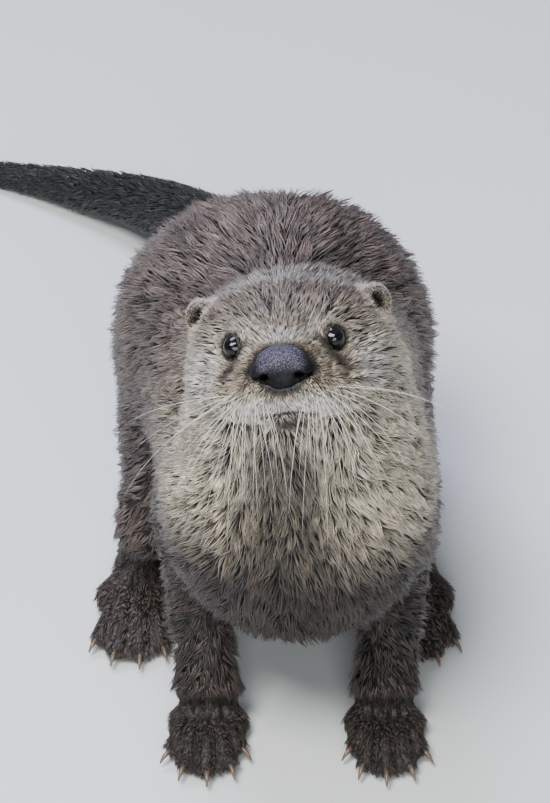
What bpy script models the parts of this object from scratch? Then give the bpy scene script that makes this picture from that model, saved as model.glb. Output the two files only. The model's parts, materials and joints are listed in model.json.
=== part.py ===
"""A North American river otter, life size: crouched with its back arched, looking up.

The otter faces -Y and its left side is +X. Every length below is in millimetres, measured over
the tips of the coat, and MM turns it into metres where a mesh is made. The animal is modelled
whole, as overlapping masses that one voxel remesh fuses, and is then parted by thin cuts.
"""

import math

import bmesh
import bpy
import numpy as np
from mathutils import Euler, Matrix, Vector
from mathutils.bvhtree import BVHTree

MM = 0.001

# Driving dimensions of the pose.
EYE_HEIGHT = 294.5
HEAD_PITCH, HEAD_ROLL, HEAD_YAW = 24, 6, 4
BREAST_SHIFT, RUMP_SHIFT = 7, -5
FORE_TREAD, HIND_TREAD = 50, 79
TRUNK_HALF_WIDTH = 95

# How finely the masses are fused, and how far each fusing is smoothed.
TRUNK_FUSING = {"voxel": 4.5, "passes": 36}
HEAD_FUSING = {"voxel": 3.0, "passes": 9}
WHOLE_FUSING = {"voxel": 2.2, "passes": 5}
NOSE_FUSING = {"voxel": 0.9, "passes": 4}

# How far the fused skins are thinned. The head keeps more of its shape than the rest.
WHOLE_TRIANGLES = 2900
NOSE_TRIANGLES = 220
FINE_MIDDLE, FINE_REACH = (0, 10, 290), 80
FINE_WEIGHT = 0.5
FINENESS = 0.009

# The room round a piece set in another, and the width of the cuts that part the flesh.
# The nose pad's points are moved a little further, for the flats between them move out less.
GAP = 0.3
NOSE_GAP = 0.36
CUT = 0.4

# Points nearer than WELD become one, and triangles thinner than SLIVER are taken out.
WELD = 0.02
SLIVER = 0.005

SIDES = {"left": 1, "right": -1}


def clear_scene():
    """Removes every object that is there at the start."""
    for thing in list(bpy.data.objects):
        bpy.data.objects.remove(thing)


def new_collection(name):
    made = bpy.data.collections.new(name)
    bpy.context.scene.collection.children.link(made)
    return made


def material(name, colour, roughness):
    """A plain finish. Its colour is linear red, green and blue."""
    made = bpy.data.materials.new(name)
    made.use_nodes = True
    shader = made.node_tree.nodes["Principled BSDF"]
    shader.inputs["Base Color"].default_value = (*colour, 1)
    shader.inputs["Roughness"].default_value = roughness
    shader.inputs["Metallic"].default_value = 0
    return made


# ---------------------------------------------------------------- masses

def smooth_rows(rows, steps):
    """Rows of numbers with more between them, on a Catmull-Rom curve through them all."""
    rows = np.array(rows, float)
    padded = np.vstack([2 * rows[0] - rows[1], rows, 2 * rows[-1] - rows[-2]])
    shares = np.arange(steps)[:, None] / steps
    spans = []
    for a, b, c, d in zip(padded, padded[1:], padded[2:], padded[3:]):
        spans.append(
            0.5 * (2 * b + (c - a) * shares + (2 * a - 5 * b + 4 * c - d) * shares**2
                   + (3 * b - a - 3 * c + d) * shares**3)
        )
    return np.vstack([*spans, rows[-1:]])


def add_tube(masses, stations, across=None, place=Matrix(), steps=8, sides=48, power=2.0):
    """A closed tube through stations of (x, y, z, half width, half height).

    Its width lies along `across`, or level where that is left out. A power over 2 squares
    its section a little, as flesh on bone is.
    """
    rows = smooth_rows(stations, steps)
    centres = [Vector(row[:3]) for row in rows]
    angles = [2 * math.pi * i / sides for i in range(sides)]
    rings = []
    for i, (centre, row) in enumerate(zip(centres, rows)):
        along = (centres[min(i + 1, len(rows) - 1)] - centres[max(i - 1, 0)]).normalized()
        wide = along.cross(Vector((0, 0, 1))) if across is None else Vector(across)
        wide = (wide - along * wide.dot(along)).normalized()
        high = wide.cross(along)
        ring = []
        for angle in angles:
            c, s = math.cos(angle), math.sin(angle)
            c, s = (math.copysign(abs(v) ** (2 / power), v) for v in (c, s))
            ring.append(masses.verts.new(place @ (centre + wide * row[3] * c + high * row[4] * s)))
        rings.append(ring)
    for ring, following in zip(rings, rings[1:]):
        for i in range(sides):
            j = (i + 1) % sides
            masses.faces.new((ring[i], ring[j], following[j], following[i]))
    masses.faces.new(rings[0][::-1])
    masses.faces.new(rings[-1])


def add_ball(masses, centre, radii, turn=(0, 0, 0), place=Matrix(), detail=40):
    """An ellipsoid, turned by XYZ degrees."""
    tilt = Euler([math.radians(t) for t in turn]).to_matrix().to_4x4()
    shape = place @ Matrix.Translation(centre) @ tilt @ Matrix.Diagonal((*radii, 1))
    bmesh.ops.create_uvsphere(masses, u_segments=detail, v_segments=detail // 2, radius=1, matrix=shape)


def object_of(masses, name, collection):
    """Millimetre masses as an object in metres."""
    masses.transform(Matrix.Scale(MM, 4))
    bmesh.ops.recalc_face_normals(masses, faces=masses.faces)
    mesh = bpy.data.meshes.new(name)
    masses.to_mesh(mesh)
    masses.free()
    made = bpy.data.objects.new(name, mesh)
    collection.objects.link(made)
    return made


def apply_modifiers(thing):
    """Keeps the evaluated mesh and drops the modifiers that made it."""
    graph = bpy.context.evaluated_depsgraph_get()
    mesh = bpy.data.meshes.new_from_object(thing.evaluated_get(graph))
    mesh.name = thing.name
    thing.modifiers.clear()
    thing.data = mesh
    return thing


def fuse(thing, voxel, passes):
    """Makes one smooth skin over overlapping masses."""
    remesh = thing.modifiers.new("Fuse", "REMESH")
    remesh.mode = "VOXEL"
    remesh.voxel_size = voxel * MM
    smooth = thing.modifiers.new("Blend", "SMOOTH")
    smooth.factor = 0.5
    smooth.iterations = passes
    return apply_modifiers(thing)


def thin_out(thing, triangles, fine=None):
    """Thins a mesh to about so many triangles, keeping more where `fine` is true of a point (mm)."""
    thing.data.calc_loop_triangles()
    thin = thing.modifiers.new("Thin", "DECIMATE")
    thin.ratio = min(1, triangles / len(thing.data.loop_triangles))
    if fine:
        kept = thing.vertex_groups.new(name="Fine")
        indices = [vert.index for vert in thing.data.vertices if fine(vert.co / MM)]
        kept.add(indices, FINE_WEIGHT, "REPLACE")
        thin.vertex_group = kept.name
        thin.invert_vertex_group = True
        thin.vertex_group_factor = FINENESS
    return apply_modifiers(thing)


def take_in(masses, thing):
    """Adds an object's mesh to millimetre masses, and removes the object."""
    masses.transform(Matrix.Scale(MM, 4))
    masses.from_mesh(thing.data)
    masses.transform(Matrix.Scale(1 / MM, 4))
    bpy.data.objects.remove(thing)


def cut_away(thing, cutter, solver="EXACT"):
    """Takes a cutter's volume out of a thing."""
    cut = thing.modifiers.new("Cut", "BOOLEAN")
    cut.object = cutter
    cut.operation = "DIFFERENCE"
    cut.solver = solver
    return apply_modifiers(thing)


# ---------------------------------------------------------------- the otter's masses

HEAD = (
    Matrix.Translation((0, 0, EYE_HEIGHT))
    @ Euler((math.radians(-HEAD_PITCH), 0, 0)).to_matrix().to_4x4()
    @ Euler((0, math.radians(-HEAD_ROLL), math.radians(-HEAD_YAW))).to_matrix().to_4x4()
)

# In the head's own frame: y runs back and z up, and the nose is in front of y = -30.
EYE = (24.7, -12, -0.9)
EYE_RADIUS = 6.6
EAR = (45.5, 34, 8.5)
EAR_RADII = (8.8, 4.8, 9.6)
EAR_FACING = (12, 0, 38)


def add_head(masses):
    skull = [
        (0, -45, -12, 9, 8),
        (0, -42, -13, 15, 13),
        (0, -35, -14.5, 20.5, 19),
        (0, -26, -16, 24.5, 23.5),
        (0, -16, -15.5, 29, 26),
        (0, -6, -15, 35.5, 29),
        (0, 6, -14, 43, 34),
        (0, 22, -12.5, 50, 38.5),
        (0, 42, -12, 53, 40),
        (0, 62, -14, 51, 38),
        (0, 80, -20, 43, 32),
        (0, 92, -26, 30, 23),
    ]
    add_tube(masses, skull, across=(1, 0, 0), place=HEAD, power=2.25)
    add_ball(masses, (0, -25, -31), (20, 17, 12), place=HEAD)
    for side in SIDES.values():
        add_ball(masses, (side * 13, -33, -20), (16, 14, 12), place=HEAD)
        add_ball(masses, (side * 24, -6, -23), (19, 24, 18), place=HEAD)
        add_ball(masses, (side * 32, 24, -22), (24, 34, 27), place=HEAD)
        add_ball(masses, (side * 17, 3, 4), (11, 12, 8), place=HEAD)


def add_trunk(masses):
    wide = TRUNK_HALF_WIDTH
    throat = [
        (6, 22, 276, 54, 42),
        (7.5, 25, 250, 60, 50),
        (8.5, 34, 223, 64, 57),
        (9.5, 46, 194, 69, 64),
        (8, 52, 162, 76, 71),
        (7, 60, 126, 76, 68),
        (5, 68, 98, 64, 58),
        (4, 74, 82, 44, 42),
    ]
    nape = [
        (6, 62, 256, 50, 28),
        (7, 84, 232, 60, 36),
        (6, 112, 204, 70, 48),
        (0, 150, 176, 78, 62),
    ]
    back = [
        (5, 62, 186, 56, 50),
        (3, 100, 172, 72, 68),
        (-2, 150, 161, wide - 13, 80),
        (-5, 202, 149, wide - 1, 87),
        (-8, 246, 127, wide, 85),
        (-11, 288, 102, wide - 15, 70),
        (-15, 326, 84, 52, 50),
        (-20, 362, 74, 36, 35),
    ]
    add_tube(masses, throat, across=(1, 0, 0))
    add_tube(masses, nape, across=(1, 0, 0))
    add_tube(masses, back, power=2.1)


TAIL = [
    (-13, 316, 86, 42, 40),
    (-20, 372, 71, 33, 32),
    (-34, 436, 57, 27.5, 26.5),
    (-55, 496, 43, 24.5, 23.5),
    (-98, 550, 28, 20.5, 19.5),
    (-150, 588, 17, 15.5, 14.8),
    (-204, 617, 10.2, 11.2, 10.8),
    (-258, 638, 6.4, 7.8, 7.6),
    (-296, 650, 4.2, 5.4, 5.4),
    (-308, 653, 3.2, 3.8, 4),
]


def add_fore_leg(masses, side):
    x = BREAST_SHIFT
    foot = x + side * FORE_TREAD
    add_ball(masses, (x + side * 45, 92, 150), (35, 44, 48), (20, 0, 0))
    add_ball(masses, (x + side * 57, 98, 112), (28, 32, 36), (-10, 0, 0))
    forearm = [
        (x + side * 56, 96, 106, 27, 30),
        (x + side * 55, 78, 76, 23, 26),
        (x + side * 53, 58, 48, 21, 22),
        (foot, 43, 27, 21, 20),
        (foot, 34, 13, 21, 18),
    ]
    add_tube(masses, forearm, across=(1, 0, 0))


def add_hind_leg(masses, side):
    x = RUMP_SHIFT
    foot = x + side * HIND_TREAD
    add_ball(masses, (x + side * 58, 194, 100), (38, 66, 54), (30, 0, 0))
    add_ball(masses, (x + side * 74, 142, 64), (24, 27, 28))
    shank = [
        (x + side * 76, 140, 66, 22, 26),
        (x + side * 77, 168, 46, 20, 22),
        (x + side * 77, 198, 26, 16, 17),
        (x + side * 77, 214, 16, 13, 13),
    ]
    instep = [
        (x + side * 77, 216, 14, 13, 12),
        (x + side * 78, 186, 13, 17, 13),
        (foot, 156, 12, 23, 13),
        (foot, 132, 11, 27, 11),
    ]
    add_tube(masses, shank, across=(1, 0, 0))
    add_tube(masses, instep, across=(1, 0, 0))


# A foot: its palm's half sizes, and each toe's angle outwards in degrees and reach from the palm's
# middle. The inner toe comes first.
PAW = {"palm": (24, 21, 11), "toes": ((-42, 29), (-20, 38), (0, 41), (20, 39), (42, 32)), "toe": 7.4}
FOOT = {"palm": (29, 24, 12), "toes": ((-33, 38), (-16, 49), (0, 54), (16, 54), (33, 48)), "toe": 8}
TOE = ((0.25, 11, 1.0), (0.55, 12.5, 1.0), (0.8, 9, 0.95), (1.0, 5.5, 0.78))


def toe_heading(side, angle):
    """The level heading of a toe that points so many degrees outwards from straight ahead."""
    turn = math.radians(angle) * side
    return Vector((math.sin(turn), -math.cos(turn), 0))


def add_foot(masses, middle, side, kind):
    """A palm, five arched toes and the web between them."""
    wide, deep, high = kind["palm"]
    radius = kind["toe"]
    add_ball(masses, middle + Vector((0, 0, 8)), (wide, deep, high))
    for angle, reach in kind["toes"]:
        ahead = toe_heading(side, angle)
        rows = []
        for share, height, girth in TOE:
            spot = middle + ahead * (reach * share) + Vector((0, 0, height))
            rows.append((*spot, radius * girth, radius * girth))
        add_tube(masses, rows, sides=16, steps=4)
    for (angle, reach), (beside, its_reach) in zip(kind["toes"], kind["toes"][1:]):
        ahead = toe_heading(side, (angle + beside) / 2)
        length = 0.7 * min(reach, its_reach)
        web = middle + ahead * (length * 0.6) + Vector((0, 0, 6))
        turn = (0, 0, -(angle + beside) / 2 * side)
        add_ball(masses, web, (7, length * 0.6, 3.6), turn, detail=20)


FEET = [
    (name, side, Vector((shift + side * tread, back, 0)), kind)
    for shift, tread, back, kind, names in (
        (BREAST_SHIFT, FORE_TREAD, 28, PAW, ("left_paw", "right_paw")),
        (RUMP_SHIFT, HIND_TREAD, 140, FOOT, ("left_foot", "right_foot")),
    )
    for name, side in zip(names, SIDES.values())
]


def in_head(spot):
    return (spot - Vector(FINE_MIDDLE)).length < FINE_REACH


def build_whole(collection):
    """The whole animal as one closed skin, without its ears, eyes, nose and claws.

    Each stage is smoothed less than the one before: the trunk, then the head, then the feet.
    Only the thick root of the tail is in the first, which would wear the rest away.
    """
    tail_in_trunk = 3
    masses = bmesh.new()
    add_trunk(masses)
    add_tube(masses, TAIL[:tail_in_trunk], sides=40)
    for side in SIDES.values():
        add_fore_leg(masses, side)
        add_hind_leg(masses, side)
    trunk = fuse(object_of(masses, "trunk_masses", collection), **TRUNK_FUSING)
    masses = bmesh.new()
    add_head(masses)
    add_tube(masses, TAIL, sides=40)
    take_in(masses, trunk)
    bulk = fuse(object_of(masses, "bulk_masses", collection), **HEAD_FUSING)
    masses = bmesh.new()
    for _, side, middle, kind in FEET:
        add_foot(masses, middle, side, kind)
    take_in(masses, bulk)
    whole = fuse(object_of(masses, "whole", collection), **WHOLE_FUSING)
    return thin_out(whole, WHOLE_TRIANGLES, in_head)


# ---------------------------------------------------------------- cutters

def kerf_shell(add_surface, name, collection):
    """A cutter: the thin closed shell on the surface that `add_surface` adds to empty masses."""
    masses = bmesh.new()
    add_surface(masses)
    shell = object_of(masses, name, collection)
    kerf = shell.modifiers.new("Kerf", "SOLIDIFY")
    kerf.thickness = CUT * MM
    kerf.offset = 0
    return apply_modifiers(shell)


def kerf_plate(middle, heading, name, collection, span=400):
    """A cutter: a thin square plate at `middle`, square to a heading."""
    masses = bmesh.new()
    turn = Vector(heading).to_track_quat("Z", "Y").to_matrix().to_4x4()
    size = Matrix.Diagonal((span, span, CUT, 1))
    bmesh.ops.create_cube(masses, size=1, matrix=Matrix.Translation(middle) @ turn @ size)
    return object_of(masses, name, collection)


def floor_block(collection):
    """A cutter: everything below the floor, which leaves a flat under each foot and the tail."""
    masses = bmesh.new()
    size = Matrix.Diagonal((1200, 1600, 40, 1))
    bmesh.ops.create_cube(masses, size=1, matrix=Matrix.Translation((0, 200, -20)) @ size)
    return object_of(masses, "floor_block", collection)


def head_bowl(masses):
    """The surface where the head meets the neck."""
    add_ball(masses, (3, 18, 300), (92, 80, 66), detail=16)


def fore_leg_cup(side):
    """A bag from below the floor to a dome in the shoulder, round one fore leg."""
    x = BREAST_SHIFT + side * 57
    rows = [
        (x, 30, -20, 42, 50),
        (x, 30, 12, 42, 50),
        (x, 44, 36, 36, 46),
        (x, 62, 60, 34, 42),
        (x, 84, 92, 34, 48),
        (x, 90, 120, 30, 44),
        (x, 91, 140, 18, 27),
        (x, 91, 150, 4, 6),
    ]
    return lambda masses: add_tube(masses, rows, across=(1, 0, 0), steps=1, sides=12)


def hind_leg_cup(side):
    """A bag from below the floor to a dome in the hip, round one hind leg."""
    x = RUMP_SHIFT + side * 80
    rows = [
        (x, 150, -20, 40, 82),
        (x, 150, 20, 40, 82),
        (x, 154, 52, 38, 72),
        (x, 164, 80, 37, 72),
        (x - side * 2, 180, 110, 35, 60),
        (x - side * 5, 188, 132, 26, 42),
        (x - side * 7, 190, 146, 14, 22),
        (x - side * 7, 190, 152, 3, 5),
    ]
    return lambda masses: add_tube(masses, rows, across=(1, 0, 0), steps=1, sides=12)


# ---------------------------------------------------------------- parting the flesh

# From the front: the node cut off, the cut's middle and heading, and a spot in the node.
TRUNK_CUTS = (
    ("neck", (6, 60, 200), (0, -0.447, 0.894), (6, 50, 215)),
    ("chest", (0, 150, 150), (0, 1, 0), (4, 100, 150)),
    ("loins", (0, 236, 130), (0, 1, 0), (-4, 200, 140)),
    ("rump", (-15, 334, 82), (-0.1, 0.95, -0.28), (-9, 290, 100)),
    ("tail_root", (-40, 452, 53), (-0.25, 0.93, -0.21), (-25, 390, 67)),
    ("tail_middle", (-150, 588, 18), (-0.82, 0.56, -0.12), (-98, 550, 28)),
)


def vertex_groups_by_island(masses):
    """Sets of vertex indices, one for each separate body."""
    left = set(masses.verts)
    islands = []
    while left:
        front = [left.pop()]
        island = {front[0].index}
        while front:
            vert = front.pop()
            for near in (edge.other_vert(vert) for edge in vert.link_edges):
                if near in left:
                    left.discard(near)
                    island.add(near.index)
                    front.append(near)
        islands.append(island)
    return islands


def two_bodies(thing):
    """The two largest separate bodies of an object, as one object each."""
    collection = thing.users_collection[0]
    masses = bmesh.new()
    masses.from_mesh(thing.data)
    islands = sorted(vertex_groups_by_island(masses), key=len, reverse=True)[:2]
    masses.free()
    bodies = []
    for island in islands:
        body = bmesh.new()
        body.from_mesh(thing.data)
        spare = [vert for vert in body.verts if vert.index not in island]
        bmesh.ops.delete(body, geom=spare, context="VERTS")
        mesh = bpy.data.meshes.new(thing.name)
        body.to_mesh(mesh)
        body.free()
        made = bpy.data.objects.new(thing.name, mesh)
        collection.objects.link(made)
        bodies.append(made)
    bpy.data.objects.remove(thing)
    return bodies


def holds(thing, spot):
    """Whether a point (mm) is inside an object's skin."""
    graph = bpy.context.evaluated_depsgraph_get()
    skin = BVHTree.FromObject(thing, graph)
    point = Vector(spot) * MM
    hits = 0
    place, _, _, _ = skin.ray_cast(point, Vector((0, 0, 1)))
    while place:
        hits += 1
        place, _, _, _ = skin.ray_cast(place + Vector((0, 0, 1e-6)), Vector((0, 0, 1)))
    return hits % 2 == 1


def part_off(thing, cutter, spot, name):
    """Cuts off the piece that holds a spot, and returns it and the rest.

    A kerf is far thinner than the triangles that it crosses, and the EXACT solver then loses
    whole bodies, so these cuts use MANIFOLD.
    """
    first, second = two_bodies(cut_away(thing, cutter, "MANIFOLD"))
    piece, rest = (first, second) if holds(first, spot) else (second, first)
    piece.name = name
    return piece, rest


def part_flesh(whole, cutters):
    """Parts the whole animal into its named flesh nodes."""
    nodes = {}

    def off(name, rest, cutter, spot):
        nodes[name], rest = part_off(rest, cutter, spot, name)
        return rest

    rest = off("head", whole, kerf_shell(head_bowl, "head_bowl", cutters), (0, 20, 285))
    for name, side in SIDES.items():
        fore = kerf_shell(fore_leg_cup(side), f"{name}_fore_leg_cup", cutters)
        hind = kerf_shell(hind_leg_cup(side), f"{name}_hind_leg_cup", cutters)
        rest = off(f"{name}_fore_leg", rest, fore, (BREAST_SHIFT + side * 54, 78, 76))
        rest = off(f"{name}_hind_leg", rest, hind, (RUMP_SHIFT + side * 76, 142, 64))
        wrist = kerf_plate((0, 42, 30), (0, 0.5, 0.87), f"{name}_wrist_plate", cutters)
        ankle = kerf_plate((0, 150, 30), (0, 0, 1), f"{name}_ankle_plate", cutters)
        paw = (BREAST_SHIFT + side * FORE_TREAD, 28, 8)
        foot = (RUMP_SHIFT + side * HIND_TREAD, 140, 8)
        nodes[f"{name}_fore_leg"] = off(f"{name}_paw", nodes[f"{name}_fore_leg"], wrist, paw)
        nodes[f"{name}_hind_leg"] = off(f"{name}_foot", nodes[f"{name}_hind_leg"], ankle, foot)
    for name, middle, heading, spot in TRUNK_CUTS:
        plate = kerf_plate(middle, heading, f"{name}_plate", cutters)
        rest = off(name, rest, plate, spot)
    nodes["tail_tip"] = rest
    for name, node in nodes.items():
        node.name = name
    return nodes


# ---------------------------------------------------------------- ears, eyes, nose and claws

def build_eye(side, name, grow, collection):
    """An eyeball, or the ball that makes room for it."""
    masses = bmesh.new()
    x, y, z = EYE
    radius = EYE_RADIUS + grow
    add_ball(masses, (side * x, y, z), (radius, radius, radius), place=HEAD, detail=14)
    return object_of(masses, name, collection)


def ear_ball(side, name, grow, ahead, radii, collection):
    """An ellipsoid at an ear, moved some way out of its mouth."""
    tilt, _, turn = EAR_FACING
    facing = Euler((math.radians(-tilt), 0, math.radians(turn * side)))
    x, y, z = EAR
    middle = Vector((side * x, y, z)) + facing.to_matrix() @ Vector((0, -ahead, 0))
    masses = bmesh.new()
    grown = [radius + grow for radius in radii]
    add_ball(masses, middle, grown, (-tilt, 0, turn * side), place=HEAD, detail=12)
    return object_of(masses, name, collection)


def build_ear(side, name, collection, cutters):
    """A small thick ear, hollowed at its front."""
    ear = ear_ball(side, name, 0, 0, EAR_RADII, collection)
    bowl = ear_ball(side, f"{name}_bowl", 0, 4.2, (6.2, 5.2, 6.8), cutters)
    return cut_away(ear, bowl)


def build_nose(collection, cutters):
    """The nose pad, with its nostrils, and a cutter that makes room for it."""
    masses = bmesh.new()
    add_ball(masses, (0, -37.5, -6.8), (13.6, 9.5, 9.8), place=HEAD)
    add_ball(masses, (0, -39.5, -13.5), (9.5, 7.5, 6.5), place=HEAD)
    for side in SIDES.values():
        add_ball(masses, (side * 8.6, -38.5, -10), (7, 8.2, 6.6), place=HEAD)
    nose = fuse(object_of(masses, "nose", collection), **NOSE_FUSING)
    thin_out(nose, NOSE_TRIANGLES)
    socket = grown_copy(nose, "nose_socket", cutters)
    nostrils = bmesh.new()
    for side in SIDES.values():
        spot = (side * 10.2, -46.5, -12)
        add_ball(nostrils, spot, (4.2, 5, 1.9), (0, side * 28, side * 24), HEAD, detail=8)
    return cut_away(nose, object_of(nostrils, "nostrils", cutters)), socket


def grown_copy(thing, name, collection):
    """A copy with its points moved out to leave the gap."""
    copy = bpy.data.objects.new(name, thing.data.copy())
    collection.objects.link(copy)
    grow = copy.modifiers.new("Grow", "DISPLACE")
    grow.strength = NOSE_GAP * MM
    grow.mid_level = 0
    return apply_modifiers(copy)


# A claw from its root inside the toe: how far along the toe, how high, and its half thickness.
CLAW = ((-3, 8.6, 1.9), (2, 8.4, 1.75), (5.5, 6.6, 1.25), (8, 4.0, 0.45))


def add_claw(masses, middle, side, angle, reach, grow=0):
    """A curved pointed claw on the toe at an angle and reach, or the same grown all round."""
    ahead = toe_heading(side, angle)
    rows = []
    for i, (along, height, girth) in enumerate(CLAW):
        along += -grow if i == 0 else grow
        spot = middle + ahead * (reach + along) + Vector((0, 0, height))
        rows.append((*spot, girth + grow, girth + grow))
    add_tube(masses, rows, sides=5, steps=1)


def build_claws(foot_name, side, middle, kind, collection, cutters):
    """One claw for each toe, and one cutter that makes room for them all."""
    claws = []
    room = bmesh.new()
    for number, (angle, reach) in enumerate(kind["toes"], 1):
        masses = bmesh.new()
        add_claw(masses, middle, side, angle, reach)
        claws.append(object_of(masses, f"{foot_name}_claw_{number}", collection))
        add_claw(room, middle, side, angle, reach, GAP)
    return claws, object_of(room, f"{foot_name}_claw_room", cutters)


# ---------------------------------------------------------------- the finished otter

SHARP_ANGLE = 45

# Linear colours and roughnesses of the finishes.
COAT_BACK = ((0.115, 0.085, 0.075), 0.6)
COAT_FRONT = ((0.25, 0.21, 0.17), 0.6)
COAT_TAIL = ((0.03, 0.032, 0.03), 0.4)
SKIN_PAW = ((0.09, 0.07, 0.06), 0.55)
NOSE_LEATHER = ((0.06, 0.055, 0.08), 0.4)
EYE_BROWN = ((0.012, 0.009, 0.008), 0.08)
CLAW_HORN = ((0.12, 0.09, 0.07), 0.4)

FINISHES = {
    "head": COAT_FRONT,
    "neck": COAT_FRONT,
    "chest": COAT_FRONT,
    "tail_root": COAT_TAIL,
    "tail_middle": COAT_TAIL,
    "tail_tip": COAT_TAIL,
    "nose": NOSE_LEATHER,
}


def finish_of(name):
    """The colour and roughness of a named node."""
    if "claw" in name:
        return CLAW_HORN
    if "eye" in name:
        return EYE_BROWN
    if name.endswith(("_paw", "_foot")):
        return SKIN_PAW
    return FINISHES.get(name, COAT_BACK)


def tidy_mesh(node):
    """Welds stray near points and leaves triangles only."""
    masses = bmesh.new()
    masses.from_mesh(node.data)
    bmesh.ops.remove_doubles(masses, verts=masses.verts, dist=WELD * MM)
    bmesh.ops.dissolve_degenerate(masses, dist=SLIVER * MM, edges=masses.edges)
    bmesh.ops.triangulate(masses, faces=masses.faces)
    masses.to_mesh(node.data)
    masses.free()


def set_on_origin(nodes):
    """Moves every node's points so that the middle of the otter's floor outline is the origin."""
    points = np.array([vert.co for node in nodes for vert in node.data.vertices])
    middle = (points.min(axis=0) + points.max(axis=0)) / 2
    shift = Matrix.Translation((-middle[0], -middle[1], 0))
    for node in nodes:
        node.data.transform(shift)


def dress(node):
    """Shades a node smooth between its sharp edges, and gives it its finish."""
    node.data.shade_smooth()
    node.data.set_sharp_from_angle(angle=math.radians(SHARP_ANGLE))
    colour, roughness = finish_of(node.name)
    node.data.materials.clear()
    node.data.materials.append(material(node.name, colour, roughness))


def main():
    """Builds the whole animal, parts it, sets the small pieces in and finishes every node."""
    clear_scene()
    otter = new_collection("river_otter")
    cutters = new_collection("river_otter_cutters")
    whole = build_whole(otter)
    cut_away(whole, floor_block(cutters))
    nodes = part_flesh(whole, cutters)
    head = nodes["head"]
    nodes["nose"], socket = build_nose(otter, cutters)
    cut_away(head, socket)
    for name, side in SIDES.items():
        nodes[f"{name}_eye"] = build_eye(side, f"{name}_eye", 0, otter)
        cut_away(head, build_eye(side, f"{name}_eye_socket", GAP, cutters))
        nodes[f"{name}_ear"] = build_ear(side, f"{name}_ear", otter, cutters)
        cut_away(head, ear_ball(side, f"{name}_ear_socket", GAP, 0, EAR_RADII, cutters))
    for name, side, middle, kind in FEET:
        claws, room = build_claws(name, side, middle, kind, otter, cutters)
        cut_away(nodes[name], room)
        nodes.update((claw.name, claw) for claw in claws)
    for node in nodes.values():
        tidy_mesh(node)
        dress(node)
    set_on_origin(list(nodes.values()))
    for cutter in cutters.objects:
        cutter.hide_render = True
        cutter.display_type = "WIRE"


main()
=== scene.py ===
# %% [markdown]
# # A river otter in its damp coat
# A museum's life-size otter is a carved body with a skin over it and a coat of real fur. This lesson
# builds it the same way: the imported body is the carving, one skin covers it a few millimetres down,
# and more than a hundred thousand small solid locks lie on the skin as real fur grows.

import heapq
import json
import math

import bmesh
import bpy
import numpy as np
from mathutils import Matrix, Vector
from mathutils.bvhtree import BVHTree
from mathutils.kdtree import KDTree

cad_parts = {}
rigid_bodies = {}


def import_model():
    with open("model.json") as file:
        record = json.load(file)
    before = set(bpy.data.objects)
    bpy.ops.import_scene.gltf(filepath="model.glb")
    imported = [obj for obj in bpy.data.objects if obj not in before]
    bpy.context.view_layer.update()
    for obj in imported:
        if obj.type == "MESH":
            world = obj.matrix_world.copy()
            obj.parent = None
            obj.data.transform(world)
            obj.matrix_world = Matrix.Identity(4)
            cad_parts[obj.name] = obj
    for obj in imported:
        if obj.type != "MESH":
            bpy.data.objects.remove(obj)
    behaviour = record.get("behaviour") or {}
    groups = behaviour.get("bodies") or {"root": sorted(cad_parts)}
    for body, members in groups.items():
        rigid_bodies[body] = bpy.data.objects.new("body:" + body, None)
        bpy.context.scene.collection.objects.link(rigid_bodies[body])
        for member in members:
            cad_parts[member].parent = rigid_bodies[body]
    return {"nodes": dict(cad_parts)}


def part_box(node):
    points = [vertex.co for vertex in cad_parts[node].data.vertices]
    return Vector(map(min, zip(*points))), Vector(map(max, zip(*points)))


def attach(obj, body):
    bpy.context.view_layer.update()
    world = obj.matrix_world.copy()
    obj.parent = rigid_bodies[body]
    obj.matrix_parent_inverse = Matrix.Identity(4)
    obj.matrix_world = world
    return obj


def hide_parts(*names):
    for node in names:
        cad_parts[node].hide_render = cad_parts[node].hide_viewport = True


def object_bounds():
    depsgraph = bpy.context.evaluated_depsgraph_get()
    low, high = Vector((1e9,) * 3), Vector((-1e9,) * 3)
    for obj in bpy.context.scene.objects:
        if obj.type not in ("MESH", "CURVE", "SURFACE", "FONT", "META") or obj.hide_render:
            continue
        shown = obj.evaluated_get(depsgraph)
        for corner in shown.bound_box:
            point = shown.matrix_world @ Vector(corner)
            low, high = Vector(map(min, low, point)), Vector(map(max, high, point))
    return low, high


for thing in list(bpy.data.objects):
    bpy.data.objects.remove(thing)
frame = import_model()
CAD_BOX = [list(corner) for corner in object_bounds()]
MM = 0.001
print("carved nodes", len(frame["nodes"]), "box", CAD_BOX)

# %% [markdown]
# ## Helpers for finishes
# Colours are picked as sRGB hex values, as in any paint program, and Blender's shaders want linear
# light, so one function turns them. One more adds a shader node with its settings and links, which
# keeps every finish below as short as its recipe.

# %% Colours and shader nodes
def linear(hex_colour):
    """A linear RGBA colour from an sRGB hex value."""
    parts = [int(hex_colour[i : i + 2], 16) / 255 for i in (1, 3, 5)]
    light = [p / 12.92 if p <= 0.04045 else ((p + 0.055) / 1.055) ** 2.4 for p in parts]
    return (*light, 1.0)


def set_sockets(node, **sockets):
    """Gives each named socket its value, or links another node's output to it."""
    for name, value in sockets.items():
        socket = node.inputs[int(name[1:]) if name[1:].isdigit() else name.replace("_", " ")]
        if isinstance(value, bpy.types.NodeSocket):
            node.id_data.links.new(value, socket)
        else:
            socket.default_value = value


def add_node(tree, kind, settings=None, **sockets):
    """Adds a node with its settings and sockets. A socket is named, or numbered as in _0."""
    node = tree.nodes.new("ShaderNode" + kind)
    for name, value in (settings or {}).items():
        setattr(node, name, value)
    set_sockets(node, **sockets)
    return node


def new_material(name):
    """A Principled material, with its tree and shader."""
    made = bpy.data.materials.new(name)
    made.use_nodes = True
    return made, made.node_tree, made.node_tree.nodes["Principled BSDF"]


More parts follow.
